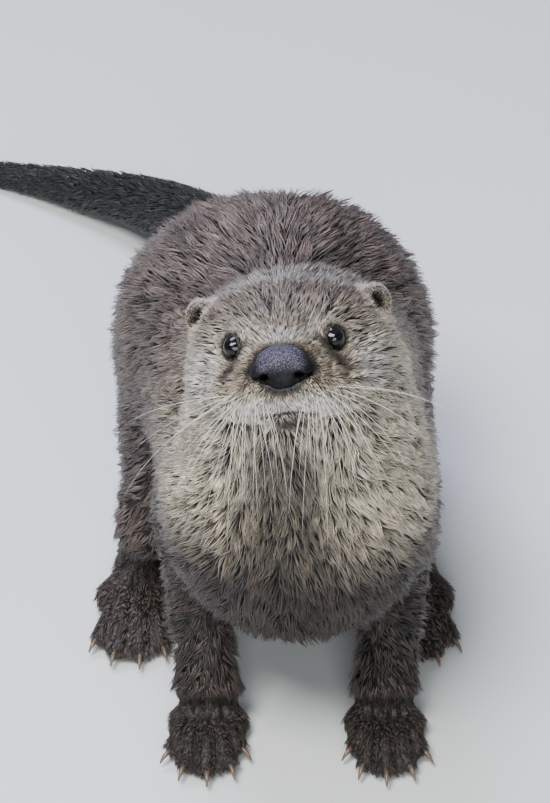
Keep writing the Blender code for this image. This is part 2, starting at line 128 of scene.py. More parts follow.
def blended(tree, share, first, second):
    """The colour between two colours or colour outputs."""
    return add_node(tree, "Mix", {"data_type": "RGBA"}, _0=share, _6=first, _7=second).outputs[2]


SMOOTH = {"interpolation_type": "SMOOTHSTEP"}
print("middle grey is", round(linear("#808080")[0], 3), "in linear light")

# %% [markdown]
# ## Where the head is
# Everything on the face is placed from the eyes and ears. The eyes give the side-to-side axis, and
# the line back from them to the ears climbs at a known angle on an otter's skull, which gives the
# other two. Places on the head are then written in its own millimetres.

# %% The head's own axes
def middle(node):
    low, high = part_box(node)
    return (low + high) / 2


EAR_RISE = math.radians(11.55)
EYES = {side: middle(f"{side}_eye") for side in ("left", "right")}
EYE_MIDDLE = (EYES["left"] + EYES["right"]) / 2
EAR_MIDDLE = (middle("left_ear") + middle("right_ear")) / 2
HEAD_X = (EYES["left"] - EYES["right"]).normalized()
to_ears = EAR_MIDDLE - EYE_MIDDLE
to_ears = (to_ears - HEAD_X * to_ears.dot(HEAD_X)).normalized()
climb = HEAD_X.cross(to_ears)
HEAD_Y = to_ears * math.cos(EAR_RISE) - climb * math.sin(EAR_RISE)
HEAD_Z = HEAD_X.cross(HEAD_Y)
HEAD_AXES = np.array([HEAD_X, HEAD_Y, HEAD_Z])


def in_head(points):
    """Points in the head's own millimetres: x to its left, y back from the eyes, z up."""
    return (np.asarray(points) - np.array(EYE_MIDDLE)) @ HEAD_AXES.T / MM


def from_head(x, y, z):
    """A place in the model's own frame, from the head's millimetres."""
    return EYE_MIDDLE + (HEAD_X * x + HEAD_Y * y + HEAD_Z * z) * MM


def folded(spots):
    """Places on the head with its right side folded over onto its left."""
    return np.column_stack([np.abs(spots[:, 0]), spots[:, 1:]])


def away_from(spots, centre, radii=1.0):
    """How far places are from a centre, in their own units or in radii."""
    return np.linalg.norm((spots - np.array(centre)) / np.array(radii), axis=1)


print("eyes apart", round((EYES["left"] - EYES["right"]).length / MM, 1), "mm")

# %% [markdown]
# ## Camera, lights and floor
# A long lens from above and in front, at the height of someone who looks down at the otter. The
# light is a plain studio: a soft panel above, one low in front that fills the face, a cooler one
# behind that runs along the wet back, and a pale floor that throws some light up under the chin.

# %% Camera
LENS, SENSOR = 134.5, 36
CAMERA_ABOVE = math.radians(36)
CAMERA_AWAY = 1.5
FRAME_MIDDLE = EYE_MIDDLE + Vector((-4.4, -18.4, -23.0)) * MM


def add_object(name, data):
    made = bpy.data.objects.new(name, data)
    bpy.context.scene.collection.objects.link(made)
    return made


def add_camera():
    camera = bpy.data.cameras.new("camera")
    camera.lens = LENS
    camera.sensor_width = SENSOR
    made = add_object("camera", camera)
    away = Vector((0, -math.cos(CAMERA_ABOVE), math.sin(CAMERA_ABOVE)))
    made.location = FRAME_MIDDLE + away * CAMERA_AWAY
    made.rotation_euler = (-away).to_track_quat("-Z", "Y").to_euler()
    bpy.context.scene.camera = made
    return made


print("camera at", [round(c, 3) for c in add_camera().location])

# %% Lights and floor
# name: place in metres, side in metres, watts, colour
PANELS = {
    "key_panel": ((-0.4, -1.0, 1.9), 0.8, 66, "#FBF9F8"),
    "back_panel": ((-0.35, 0.75, 1.8), 0.9, 42, "#DDE0FF"),
    "front_panel": ((0.25, -2.3, 1.0), 1.0, 30, "#FAFBFC"),
}
FLOOR_REACH = 6
SKY_STRENGTH = 0.33


def add_panel(name, place, size, power, colour):
    """A soft square light that faces the otter's head."""
    light = bpy.data.lights.new(name, "AREA")
    light.size = size
    light.energy = power
    light.color = linear(colour)[:3]
    made = add_object(name, light)
    made.location = place
    made.rotation_euler = (EYE_MIDDLE - Vector(place)).to_track_quat("-Z", "Y").to_euler()


def add_floor():
    """A wide sheet of matt studio paper, level with the soles."""
    material, _, shader = new_material("matt_studio_paper")
    set_sockets(shader, Base_Color=linear("#D3D6D6"), Roughness=0.85)
    mesh = bpy.data.meshes.new("studio_floor")
    corners = [(x * FLOOR_REACH, y * FLOOR_REACH, 0) for x, y in ((-1, -1), (1, -1), (1, 1), (-1, 1))]
    mesh.from_pydata(corners, [], [(0, 1, 2, 3)])
    mesh.materials.append(material)
    add_object("studio_floor", mesh)


def add_world():
    world = bpy.data.worlds.new("studio_air")
    bpy.context.scene.world = world
    world.use_nodes = True
    sky = world.node_tree.nodes["Background"]
    set_sockets(sky, Color=linear("#DDE4EA"), Strength=SKY_STRENGTH)


for name, panel in PANELS.items():
    add_panel(name, *panel)
add_floor()
add_world()
print("floor at 0, lights", len(PANELS))

# %% [markdown]
# ## One skin over the carved body
# A mounted animal's skin has no seams where a carver parted the body, so the flesh nodes are grown
# until they overlap and a voxel remesh draws one closed surface round them all. The remesh is fine
# enough for a leg and far too coarse for an eyelid, so the face and feet are subdivided afterwards,
# which puts small faces only where they show.

# %% A surface as arrays
def unit(vectors):
    return vectors / np.maximum(np.linalg.norm(vectors, axis=-1, keepdims=True), 1e-12)


def smooth_step(values, low, high):
    """0 below low and 1 above high, with an even slope at both ends."""
    share = np.clip((values - low) / (high - low), 0, 1)
    return share * share * (3 - 2 * share)


class Surface:
    """The points and triangles of a mesh, with the sums that a smooth field needs."""

    def __init__(self, mesh):
        mesh.calc_loop_triangles()
        self.points = self.read(mesh.vertices, "co", 3, float)
        self.triangles = self.read(mesh.loop_triangles, "vertices", 3, int)
        self.edges = self.read(mesh.edges, "vertices", 2, int)
        self.near = np.bincount(self.edges.ravel(), minlength=len(self.points))

    @staticmethod
    def read(items, field, columns, kind):
        values = np.empty(len(items) * columns, kind)
        items.foreach_get(field, values)
        return values.reshape(-1, columns)

    def corners(self, values):
        """A value at the first, second and third corner of every triangle."""
        return [values[self.triangles[:, i]] for i in range(3)]

    def summed(self, indices, values):
        """For each point, the sum of the values that carry its index."""
        count = len(self.points)
        if values.ndim == 1:
            return np.bincount(indices, values, count)
        return np.stack([np.bincount(indices, column, count) for column in values.T], axis=1)

    def gathered(self, values):
        """For each point, the sum of its triangles' values."""
        return sum(self.summed(self.triangles[:, i], values) for i in range(3))

    def around(self, values):
        """For each point, the mean of the values at its neighbours."""
        first, second = self.edges.T
        total = self.summed(first, values[second]) + self.summed(second, values[first])
        near = np.maximum(self.near, 1)
        return total / (near if values.ndim == 1 else near[:, None])

    def spread(self, values, passes, share=0.5):
        """Values smoothed over the surface. The share may differ from point to point."""
        for _ in range(passes):
            values = values + (self.around(values) - values) * share
        return values

    def relax(self, passes, share=0.5):
        self.points = self.spread(self.points, passes, share)

    def faces_across(self):
        """Each triangle's normal, twice as long as the triangle's area."""
        a, b, c = self.corners(self.points)
        return np.cross(b - a, c - a)

    def normals(self):
        return unit(self.gathered(self.faces_across()))


print("half way up a smooth step is", smooth_step(0.5, 0, 1))

# %% Flesh nodes into one closed mesh
SKIN_VOXEL = 3.0 * MM
OVERLAP = 0.45 * MM
WELD = 1e-6
FLESH = [name for name in frame["nodes"] if "claw" not in name and "eye" not in name and name != "nose"]
COVERED = FLESH + ["nose", "left_eye", "right_eye"]


def one_mesh(names):
    """The meshes of several nodes in one, with their points welded."""
    masses = bmesh.new()
    for name in names:
        masses.from_mesh(frame["nodes"][name].data)
    bmesh.ops.remove_doubles(masses, verts=masses.verts, dist=WELD)
    mesh = bpy.data.meshes.new("joined")
    masses.to_mesh(mesh)
    masses.free()
    return mesh


def with_modifiers(mesh, *steps):
    """A mesh after modifiers, each given as its kind and its settings."""
    carrier = add_object("carrier", mesh)
    for kind, settings in steps:
        modifier = carrier.modifiers.new(kind, kind)
        for name, value in settings.items():
            setattr(modifier, name, value)
    graph = bpy.context.evaluated_depsgraph_get()
    made = bpy.data.meshes.new_from_object(carrier.evaluated_get(graph))
    bpy.data.objects.remove(carrier)
    return made


grown_flesh = with_modifiers(one_mesh(COVERED), ("DISPLACE", {"strength": OVERLAP, "mid_level": 0}))
raw_skin = with_modifiers(grown_flesh, ("REMESH", {"mode": "VOXEL", "voxel_size": SKIN_VOXEL}))
print("remeshed skin", len(raw_skin.polygons), "faces")

# %% Finer faces on the face and feet
FEET = [name for name in FLESH if name.endswith(("paw", "foot"))]
MOUTH = (0.5, -28, -29)
FACE_BACK, FACE_HALF, FACE_LOW = 10, 56, -46
EAR_REACH = 14
FEATURE_REACH = 12
LID_FINE_REACH = 8.5
AROUND_FOOT = 2 * MM
eye_spots = in_head([EYES["left"], EYES["right"]])
ear_spots = in_head([middle("left_ear"), middle("right_ear")])


def refined(mesh, wanted):
    """Splits in four every face whose corners are all wanted."""
    masses = bmesh.new()
    masses.from_mesh(mesh)
    chosen = wanted(np.array([vert.co for vert in masses.verts]))
    edges = [e for e in masses.edges if all(chosen[vert.index] for vert in e.verts)]
    bmesh.ops.subdivide_edges(masses, edges=edges, cuts=1, use_grid_fill=True)
    bmesh.ops.triangulate(masses, faces=[f for f in masses.faces if len(f.verts) > 4])
    masses.to_mesh(mesh)
    masses.free()


def near_spots(points, centres, reach):
    """Whether each point is within reach of any of these places on the head."""
    gaps = np.linalg.norm(in_head(points)[:, None, :] - np.array(centres)[None], axis=2)
    return gaps.min(axis=1) < reach


def in_box(points, node, margin):
    """Whether each point is inside a node's box, grown by a margin."""
    low, high = (np.array(corner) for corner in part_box(node))
    return ((points > low - margin) & (points < high + margin)).all(axis=1)


def on_face(points):
    x, y, z = in_head(points).T
    in_front = (y < FACE_BACK) & (np.abs(x) < FACE_HALF) & (z > FACE_LOW)
    return in_front | near_spots(points, ear_spots, EAR_REACH)


def on_feet(points):
    return np.logical_or.reduce([in_box(points, name, AROUND_FOOT) for name in FEET])


refined(raw_skin, lambda points: on_face(points) | on_feet(points))
refined(raw_skin, lambda points: near_spots(points, [*eye_spots, *ear_spots, MOUTH], FEATURE_REACH))
refined(raw_skin, lambda points: near_spots(points, eye_spots, LID_FINE_REACH))
skin = Surface(raw_skin)
print("skin", len(skin.points), "points", len(skin.triangles), "triangles")

# %% Back onto the carving, then smooth
SNAP_REACH = 1.8 * MM
SMALL_FORMS_KEPT = 0.75
masses = bmesh.new()
masses.from_mesh(grown_flesh)
flesh_tree = BVHTree.FromBMesh(masses)
masses.free()


def snapped(points, tree, reach):
    """Points moved to the nearest place on a surface, where that is within reach."""
    moved = points.copy()
    for i, point in enumerate(points):
        place, _, _, _ = tree.find_nearest(Vector(point), reach)
        if place:
            moved[i] = place
    return moved


fine = on_face(skin.points) | on_feet(skin.points)
skin.points[fine] = snapped(skin.points[fine], flesh_tree, SNAP_REACH)
small_forms = skin.spread(fine.astype(float), 10)
skin.relax(14, 0.5 * (1 - SMALL_FORMS_KEPT * small_forms)[:, None])
print("smoothed; small forms kept on", int((small_forms > 0.5).sum()), "points")

# %% [markdown]
# ## What grows where
# A groomer's chart of the coat: for each part of the body, how long a lock is, how wide, how far its
# tip stands off the skin, and how many grow on a square centimetre. The chart is written for the
# carved nodes, and its numbers are then smoothed over the skin, as a real coat changes gradually.

# %% The coat's chart
# node: length, width, depth (mm), locks for each square centimetre
CHART = {
    "head": (7.0, 0.6, 2.0, 88),
    "nose": (3.4, 0.5, 1.2, 120),
    "ear": (2.2, 0.42, 0.6, 210),
    "eye": (3.0, 0.45, 0.9, 125),
    "neck": (15.0, 0.86, 4.0, 42),
    "chest": (17.0, 1.0, 5.0, 30),
    "loins": (21.0, 1.25, 6.8, 22),
    "rump": (21.0, 1.25, 6.8, 22),
    "fore_leg": (11.0, 1.0, 3.0, 32),
    "hind_leg": (13.0, 1.1, 3.4, 26),
    "paw": (3.4, 0.5, 0.6, 150),
    "foot": (3.6, 0.52, 0.6, 130),
    "tail_root": (11.0, 1.15, 2.6, 26),
    "tail_middle": (8.5, 0.95, 1.5, 34),
    "tail_tip": (5.5, 0.8, 0.9, 46),
}
CHART_SMOOTHING = 36


def nearest(targets, points):
    """For each point, the index of the target that is nearest."""
    tree = KDTree(len(targets))
    for i, target in enumerate(targets):
        tree.insert(target, i)
    tree.balance()
    return np.array([tree.find(point)[1] for point in points])


def plain_name(node):
    return node.replace("left_", "").replace("right_", "")


carved_points = [vert.co for name in COVERED for vert in frame["nodes"][name].data.vertices]
carved_owner = [name for name in COVERED for vert in frame["nodes"][name].data.vertices]
owner = [carved_owner[i] for i in nearest(carved_points, skin.points)]
chart = np.array([CHART[plain_name(name)] for name in owner])
length, width, depth, locks = skin.spread(chart, CHART_SMOOTHING).T
print("coat depth from", round(depth.min(), 2), "to", round(depth.max(), 2), "mm")

# %% [markdown]
# ## Under the coat
# The carving is measured over the tips of the hair, so the skin sinks by the coat's depth, and by a
# little more on the crown, where the locks stand up. Lids are then shaped round each eye: seen along
# the gaze they are an oval opening, a thin raised rim that lies on the eyeball, and a slope that runs
# out into the face. The mouth is a groove under a full upper lip, curved down at its corners.

# %% Skin below the hair tips
CROWN_LOWERED = 3.0
spots = in_head(skin.points)
crown = smooth_step(spots[:, 2], 8, 20) * (np.abs(spots[:, 1] - 20) < 45) * (np.abs(spots[:, 0]) < 40)
crown = skin.spread(crown, 6)
skin.points -= skin.normals() * ((depth + crown * CROWN_LOWERED) * MM + OVERLAP)[:, None]
skin.relax(3, 0.4)
print("skin sunk by", round(depth.mean(), 2), "mm on average")

# %% Eyelids
# The gaze is in the head's axes, the opening's half width and half height in millimetres, and the
# opening's lower end leans to the nose. RIM is where the lid turns in, as a share of the opening.
EYE_RADIUS = 6.6
GAZE = unit(np.array([0.6, -0.76, 0.22]))
OPENING = (5.2, 5.8)
OPENING_LEAN = math.radians(13)
EYE_SET_BACK = 0.7
LID_THICK = 0.5
LID_REACH = 2.3
RIM = 0.96
SOCKET_DEPTH = 1.6
SOCKET_HALF = 16
LIDS_BACK = -2
FAR_FROM_EYE = 9


def eye_axes(side):
    """The gaze, the way across the eye to the nose, and the way up it."""
    sign = 1 if side == "left" else -1
    gaze = Vector(HEAD_AXES.T @ (GAZE * (sign, 1, 1)))
    inward = gaze.cross(HEAD_Z).normalized() * sign
    up = inward.cross(gaze) if inward.cross(gaze).dot(HEAD_Z) > 0 else gaze.cross(inward)
    return gaze, inward, up


def ball_middle(side):
    """The eyeball's middle, a little deeper in the socket than the carved ball's."""
    return EYES[side] - eye_axes(side)[0] * EYE_SET_BACK * MM


def seen_along_gaze(points, side):
    """How far points lie ahead of the eye's middle, out from the gaze, and out from the opening.

    The last is 1 on the opening's edge."""
    gaze, inward, up = (np.array(axis) for axis in eye_axes(side))
    local = (points - np.array(ball_middle(side))) / MM
    ahead, x, y = local @ gaze, local @ inward, local @ up
    lean_x = x * math.cos(OPENING_LEAN) + y * math.sin(OPENING_LEAN)
    lean_y = y * math.cos(OPENING_LEAN) - x * math.sin(OPENING_LEAN)
    return ahead, np.hypot(x, y), np.hypot(lean_x / OPENING[0], lean_y / OPENING[1])


def opening_ring(points):
    """1 on the edge of the nearer eye's opening, less inside it and more outside."""
    rings = []
    for side in EYES:
        ahead, _, ring = seen_along_gaze(points, side)
        rings.append(np.where(ahead > LIDS_BACK, ring, FAR_FROM_EYE))
    return np.minimum(*rings)


def shape_lids(side):
    """Moves the skin along the gaze until it is a socket, a rim on the ball and a slope."""
    ahead, round_eye, ring = seen_along_gaze(skin.points, side)
    ball = np.sqrt(np.maximum(EYE_RADIUS**2 - np.minimum(round_eye, EYE_RADIUS - 0.1) ** 2, 0))
    inside = ball - SOCKET_DEPTH * smooth_step(ring, 1.0, 0.8)
    rim = ball + LID_THICK * smooth_step(ring, RIM, 1.06)
    lid = np.where(ring < RIM, inside, rim)
    share = smooth_step(ring, LID_REACH, 1.2) * (ahead > LIDS_BACK) * (round_eye < SOCKET_HALF)
    moved = np.where(share > 0, lid * share + ahead * (1 - share), ahead)
    skin.points += ((moved - ahead) * MM)[:, None] * np.array(eye_axes(side)[0])


for side in EYES:
    shape_lids(side)
eye_ring = opening_ring(skin.points)
print("lids shaped on", int((eye_ring < LID_REACH).sum()), "points")

# %% Mouth
MOUTH_HALF, MOUTH_BACK = 14.5, -12
MOUTH_HEIGHT = -28.8
MOUTH_CURVE = 0.015
GROOVE_DEPTH, GROOVE_HALF = 2.0, 0.9
LIP_SWELL, LIP_ABOVE, LIP_HALF = 0.7, 2.6, 1.8


def over_mouth(spots):
    """How far each place is above the line of the closed mouth, in millimetres."""
    return spots[:, 2] - MOUTH_HEIGHT + MOUTH_CURVE * (spots[:, 0] - MOUTH[0]) ** 2


def along_mouth(spots, more=0.0):
    """Whether each place is on the front of the muzzle and between the mouth's corners."""
    return (np.abs(spots[:, 0]) < MOUTH_HALF + more) & (spots[:, 1] < MOUTH_BACK)


spots = in_head(skin.points)
over = over_mouth(spots)
at_mouth = smooth_step(np.abs(spots[:, 0]), MOUTH_HALF + 2, MOUTH_HALF - 2)
at_mouth = at_mouth * (spots[:, 1] < MOUTH_BACK)
lip = LIP_SWELL * np.exp(-(((over - LIP_ABOVE) / LIP_HALF) ** 2))
groove = GROOVE_DEPTH * np.exp(-((over / GROOVE_HALF) ** 2))
skin.points += skin.normals() * ((lip - groove) * at_mouth * MM)[:, None]
print("mouth groove on", int((at_mouth * (np.abs(over) < 1) > 0.5).sum()), "points")

# %% [markdown]
# ## Toes
# An otter's five toes are joined by a web. The carving gives each foot's outline and its claws show
# where the toes end, so a valley is pressed into the skin from between each two claws back towards
# the heel, which leaves the toes standing as ridges.

# %% Webs between the toes
WEB_DEPTH = 2.6 * MM
WEB_HALF = 1.9 * MM
TOES = range(1, 6)


def web_valleys(foot):
    """How deep the web lies at each point of the skin, from 0 to 1, for one foot."""
    low, high = (np.array(corner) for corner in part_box(foot))
    claws = [np.array(middle(f"{foot}_claw_{number}"))[:2] for number in TOES]
    heel = np.array([(low[0] + high[0]) / 2, high[1]])
    deep = np.zeros(len(skin.points))
    for claw, next_claw in zip(claws, claws[1:]):
        tip = (claw + next_claw) / 2
        away = skin.points[:, :2] - tip
        way = unit(heel - tip)
        along = away @ way / np.linalg.norm(heel - tip)
        aside = np.abs(away @ (-way[1], way[0])) / WEB_HALF
        reach = smooth_step(along, -0.15, 0.1) * smooth_step(along, 0.75, 0.35)
        deep = np.maximum(deep, np.exp(-(aside**2)) * reach)
    return deep * in_box(skin.points, foot, 2 * AROUND_FOOT)


skin_up = skin.normals()
web = np.maximum.reduce([web_valleys(foot) for foot in FEET]) * smooth_step(skin_up[:, 2], -0.6, 0.2)
skin.points -= skin_up * (web * WEB_DEPTH)[:, None]
print("webs pressed in on", int((web > 0.3).sum()), "points")

# %% [markdown]
# ## Ears
# An otter's ear is a small round cup that it can press shut under water. The carving holds only its
# outline, so the cup is worked in along the way the ear faces: a hollow in the middle, and round it a
# rim that stands a little forward.

# %% Ear cups
EAR_MOUTH = (45.8, 43.2, 8.2)
EAR_FACES = unit(np.array([0.6, -0.77, 0.21]))
EAR_HALF_LENGTH = 13
NOT_IN_EAR = 99
CUP_DEPTH = 5.0
CUP_RIM = 1.6
CUP_RIM_RADIUS, CUP_RIM_HALF = 8.2, 1.3


def from_ear_axis(spots):
    """How far each place is from the line that the nearer ear faces along, in millimetres."""
    away = folded(spots) - EAR_MOUTH
    ahead = away @ EAR_FACES
    aside = np.linalg.norm(away - ahead[:, None] * EAR_FACES, axis=1)
    return np.where(np.abs(ahead) < EAR_HALF_LENGTH, aside, NOT_IN_EAR)


def in_ear(spots):
    """1 in the hollow of an ear and 0 from its rim outwards."""
    return smooth_step(from_ear_axis(spots), 7.2, 5.5)


spots = in_head(skin.points)
toward = EAR_FACES * np.column_stack([np.sign(spots[:, 0]), np.ones((len(spots), 2))])
facing_out = ((skin.normals() @ HEAD_AXES.T) * toward).sum(axis=1)
rim = np.exp(-(((from_ear_axis(spots) - CUP_RIM_RADIUS) / CUP_RIM_HALF) ** 2)) * CUP_RIM
worked = (rim - in_ear(spots) * CUP_DEPTH) * smooth_step(facing_out, -0.3, 0.2)
skin.points += (toward * worked[:, None] * MM) @ HEAD_AXES
print("ear cups worked on", int((np.abs(worked) > 0.5).sum()), "points")

# %% A piece of the otter
def object_from(name, points, faces, material):
    """A smooth piece of the otter, riding on its one body."""
    mesh = bpy.data.meshes.new(name)
    faces = np.asarray(faces)
    mesh.vertices.add(len(points))
    mesh.vertices.foreach_set("co", np.asarray(points, np.float32).ravel())
    mesh.loops.add(faces.size)
    mesh.loops.foreach_set("vertex_index", faces.astype(np.int32).ravel())
    mesh.polygons.add(len(faces))
    starts = np.arange(0, faces.size, faces.shape[1], dtype=np.int32)
    mesh.polygons.foreach_set("loop_start", starts)
    mesh.update(calc_edges=True)
    mesh.validate()
    mesh.shade_smooth()
    mesh.materials.append(material)
    made = add_object(name, mesh)
    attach(made, "root")
    return made


def give_values(piece, name, values):
    """Stores one number, or one colour of four, at each point of a piece."""
    values = np.asarray(values, np.float32)
    kind, field = ("FLOAT", "value") if values.ndim == 1 else ("FLOAT_COLOR", "color")
    piece.data.attributes.new(name, kind, "POINT").data.foreach_set(field, values.ravel())


def give_patches(piece, corners):
    """Stores the map of patches, one place for each corner of each face."""
    layer = piece.data.uv_layers.new(name="OFBake")
    layer.uv.foreach_set("vector", corners.astype(np.float32).ravel())


# %% [markdown]
# ## Eyes
# An otter's eye is a small dark bead. The ball is a sphere whose cornea bulges along the gaze, as a
# real one does, so that the highlight is small and round. Behind that clear gloss the iris is so dark
# that it is hard to tell from the pupil. The cornea's index of 1.38 is that of a wet living eye.

# %% Wet eyes
CORNEA_BULGE = 0.55
CORNEA_EDGE, CORNEA_TOP = 42, 8
PUPIL_EDGE = (17, 23)
IRIS_EDGE = (38, 47)
IRIS_FIBRE = 0.5 * MM


def eye_finish():
    """A wet cornea over a dark iris: one clear glint over a colour close to black."""
    material, tree, shader = new_material("wet_cornea_over_dark_iris")
    away = add_node(tree, "Attribute", {"attribute_name": "off_axis"}).outputs["Fac"]
    place = add_node(tree, "TexCoord").outputs["Object"]
    fibres = add_node(tree, "TexNoise", Vector=place, Scale=1 / IRIS_FIBRE, Detail=4.0, Roughness=0.6)
    pupil = add_node(tree, "MapRange", SMOOTH, Value=away, From_Min=PUPIL_EDGE[0], From_Max=PUPIL_EDGE[1])
    white = add_node(tree, "MapRange", SMOOTH, Value=away, From_Min=IRIS_EDGE[0], From_Max=IRIS_EDGE[1])
    iris = blended(tree, fibres.outputs["Fac"], linear("#0B0B0F"), linear("#191418"))
    colour = blended(tree, pupil.outputs[0], linear("#07080C"), iris)
    colour = blended(tree, white.outputs[0], colour, linear("#0D0A09"))
    set_sockets(shader, Base_Color=colour, Roughness=0.6, Specular_IOR_Level=0.0)
    set_sockets(shader, Coat_Weight=1.0, Coat_IOR=1.38, Coat_Roughness=0.04)
    return material


def eyeball(side, finish):
    """A ball with its cornea drawn out along the gaze."""
    masses = bmesh.new()
    bmesh.ops.create_uvsphere(masses, u_segments=56, v_segments=36, radius=EYE_RADIUS)
    bmesh.ops.triangulate(masses, faces=masses.faces)
    points = np.array([vert.co for vert in masses.verts])
    faces = np.array([[vert.index for vert in face.verts] for face in masses.faces])
    masses.free()
    away = np.degrees(np.arccos(np.clip(unit(points) @ np.array(eye_axes(side)[0]), -1, 1)))
    points *= (1 + CORNEA_BULGE / EYE_RADIUS * smooth_step(away, CORNEA_EDGE, CORNEA_TOP))[:, None]
    placed = np.array(ball_middle(side)) + points * MM
    piece = object_from(f"{side}_eyeball", placed, faces, finish)
    give_values(piece, "off_axis", away)
    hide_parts(f"{side}_eye")
    return piece


EYE_FINISH = eye_finish()
for side in EYES:
    print(eyeball(side, EYE_FINISH).name, "radius", EYE_RADIUS)

# %% [markdown]
# ## Nose
# The pad is bare leather with a fine pebble grain, domed on top, drawn out to a wing on each side, and
# narrower below the nostrils, where it is wet and smooth. It starts from the carved pad, remeshed
# finely enough to sculpt: points are moved by soft dabs in the head's millimetres.

# %% Nose pad
NOSE_VOXEL = 0.55 * MM
NOSTRIL = (8.5, -32.5, -10.6)
SLIT = (12.0, -30, -11.2)
# axis, push along it (outwards for the first axis), centre, radii
PAD_OUTLINE = (
    (0, -3.8, (13.4, -30, -14.4), (3.4, 9, 2.4)),
    (0, 1.0, (15.0, -28, -8.6), (3, 8, 2.2)),
    (2, -1.0, (0, -33, -19), (2.0, 6, 2.0)),
)
PAD_HOLLOWS = (
    (1, 4.4, NOSTRIL, (1.6, 9, 1.35)),
    (1, 1.7, SLIT, (2.2, 9, 0.8)),
    (1, 0.6, (0, -34, -14.5), (0.7, 5, 3.0)),
)


def dab(spots, centre, radii):
    """1 at a place and on its mirror, falling softly to nothing about twice the radii away."""
    return np.exp(-(((folded(spots) - centre) / radii) ** 2).sum(axis=1))


def sculpt(spots, pushes):
    """Pushes places on the head along its axes, by one dab after another."""
    outwards = np.sign(spots[:, 0])
    for axis, push, centre, radii in pushes:
        spots[:, axis] += (1 if axis else outwards) * push * dab(spots, centre, radii)


spots = in_head(skin.points)
behind_pad = 7 * dab(spots, NOSTRIL, (2.8, 12, 2.4)) + 4 * dab(spots, SLIT, (3.2, 12, 1.8))
skin.points += (behind_pad * MM)[:, None] * np.array(HEAD_Y)

remeshed = ("REMESH", {"mode": "VOXEL", "voxel_size": NOSE_VOXEL})
softened = ("SMOOTH", {"iterations": 14, "factor": 0.5})
nose = Surface(with_modifiers(one_mesh(["nose"]), remeshed, softened))
nose_spots = in_head(nose.points)
sculpt(nose_spots, PAD_OUTLINE)
nose_outline = BVHTree.FromPolygons(nose_spots.tolist(), nose.triangles.tolist())
sculpt(nose_spots, PAD_HOLLOWS)
nose.points = np.array(EYE_MIDDLE) + (nose_spots @ HEAD_AXES) * MM
nose.relax(2, 0.3)
print("nose pad", len(nose.points), "points")

# %% Pebbled leather
PEBBLE = 0.8 * MM
PORE = 0.4 * MM
# the dome from its lower edge to full, in the head's millimetres: drier and glossier leather, painted
# lighter as a reflection of the sky
DRY_SHEEN_FROM, DRY_SHEEN_TO = -10.5, -2.0


def nose_finish():
    """Pebbled leather: black and wet about the nostrils, and on the drier dome a lavender grey that is a
    painted reflection of the sky, with painted glints on the pebble tops.
    """
    material, tree, shader = new_material("pebbled_nose_leather")
    dome = add_node(tree, "Attribute", {"attribute_name": "dome"}).outputs["Fac"]
    place = add_node(tree, "TexCoord").outputs["Object"]
    cells = add_node(tree, "TexVoronoi", {"feature": "F1"}, Vector=place, Scale=1 / PEBBLE)
    pebbles = cells.outputs["Distance"]
    pores = add_node(tree, "TexNoise", Vector=place, Scale=1 / PORE, Detail=3.0)
    furrow = add_node(tree, "MapRange", Value=pebbles, From_Min=0.2, From_Max=0.6).outputs[0]
    # the light lavender and the light pebble tops are a painted sky reflection and painted glints over the
    # dark leather
    dry_with_painted_sheen = blended(tree, furrow, linear("#7E7990"), linear("#15131B"))
    dry_with_painted_sheen = blended(tree, pores.outputs["Fac"], dry_with_painted_sheen, linear("#3A3745"))
    wet = blended(tree, furrow, linear("#101217"), linear("#040506"))
    rough = add_node(tree, "MapRange", Value=dome, To_Min=0.5, To_Max=0.42)
    relief = add_node(tree, "MapRange", Value=dome, To_Min=0.4)
    height = add_node(tree, "Math", {"operation": "MULTIPLY"}, _0=pebbles, _1=relief.outputs[0]).outputs[0]
    bump = add_node(tree, "Bump", {"invert": True}, Strength=0.9, Distance=0.35 * MM, Height=height)
    set_sockets(shader, Base_Color=blended(tree, dome, wet, dry_with_painted_sheen), Normal=bump.outputs[0])
    set_sockets(shader, Roughness=rough.outputs[0], IOR=1.4, Specular_IOR_Level=0.25)
    return material


nose_pad = object_from("nose_pad", nose.points, nose.triangles, nose_finish())
hollow = np.maximum(dab(nose_spots, NOSTRIL, (3.0, 12, 2.4)), dab(nose_spots, (12, -28, -11), (3, 12, 1.5)))
# the dome mask: drier leather, and where the painted sky reflection lies
dome = smooth_step(nose_spots[:, 2], DRY_SHEEN_FROM, DRY_SHEEN_TO) * smooth_step(np.abs(nose_spots[:, 0]), 15, 8)
give_values(nose_pad, "dome", dome * (1 - np.clip(hollow * 1.4, 0, 1)))
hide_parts("nose")
print("nose pad piece", len(nose_pad.data.polygons), "faces")

# %% [markdown]
# ## Claws
# Each claw is a blunt grey-brown hook of horn. The carved claw has the right shape and a faceted
# surface, so its piece is the same mesh after subdivision. Horn grows from the root, which leaves fine
# streaks along it. Keratin's index is about 1.54.

# %% Horn claws
# real streaks are too fine to show, so these are drawn as coarse as they need to be
STREAK = 1.1 * MM


def horn_finish():
    """Grown horn: a soft gloss with streaks that run to the point."""
    material, tree, shader = new_material("grown_claw_horn")
    place = add_node(tree, "TexCoord").outputs["Object"]
    grain = add_node(tree, "TexNoise", Vector=place, Scale=1 / STREAK, Detail=4.0, Distortion=1.2)
    streaks = grain.outputs["Fac"]
    bump = add_node(tree, "Bump", Strength=0.5, Distance=0.1 * MM, Height=streaks)
    colour = blended(tree, streaks, linear("#241A14"), linear("#7A6654"))
    set_sockets(shader, Base_Color=colour, Normal=bump.outputs[0], Roughness=0.36, IOR=1.54)
    return material


HORN = horn_finish()
CLAWS = [name for name in frame["nodes"] if "claw" in name]
for name in CLAWS:
    rounded = Surface(with_modifiers(one_mesh([name]), ("SUBSURF", {"levels": 1, "render_levels": 1})))
    claw = object_from(f"{name}_horn", rounded.points, rounded.triangles, HORN)
    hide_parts(name)
print("claws", len(CLAWS))

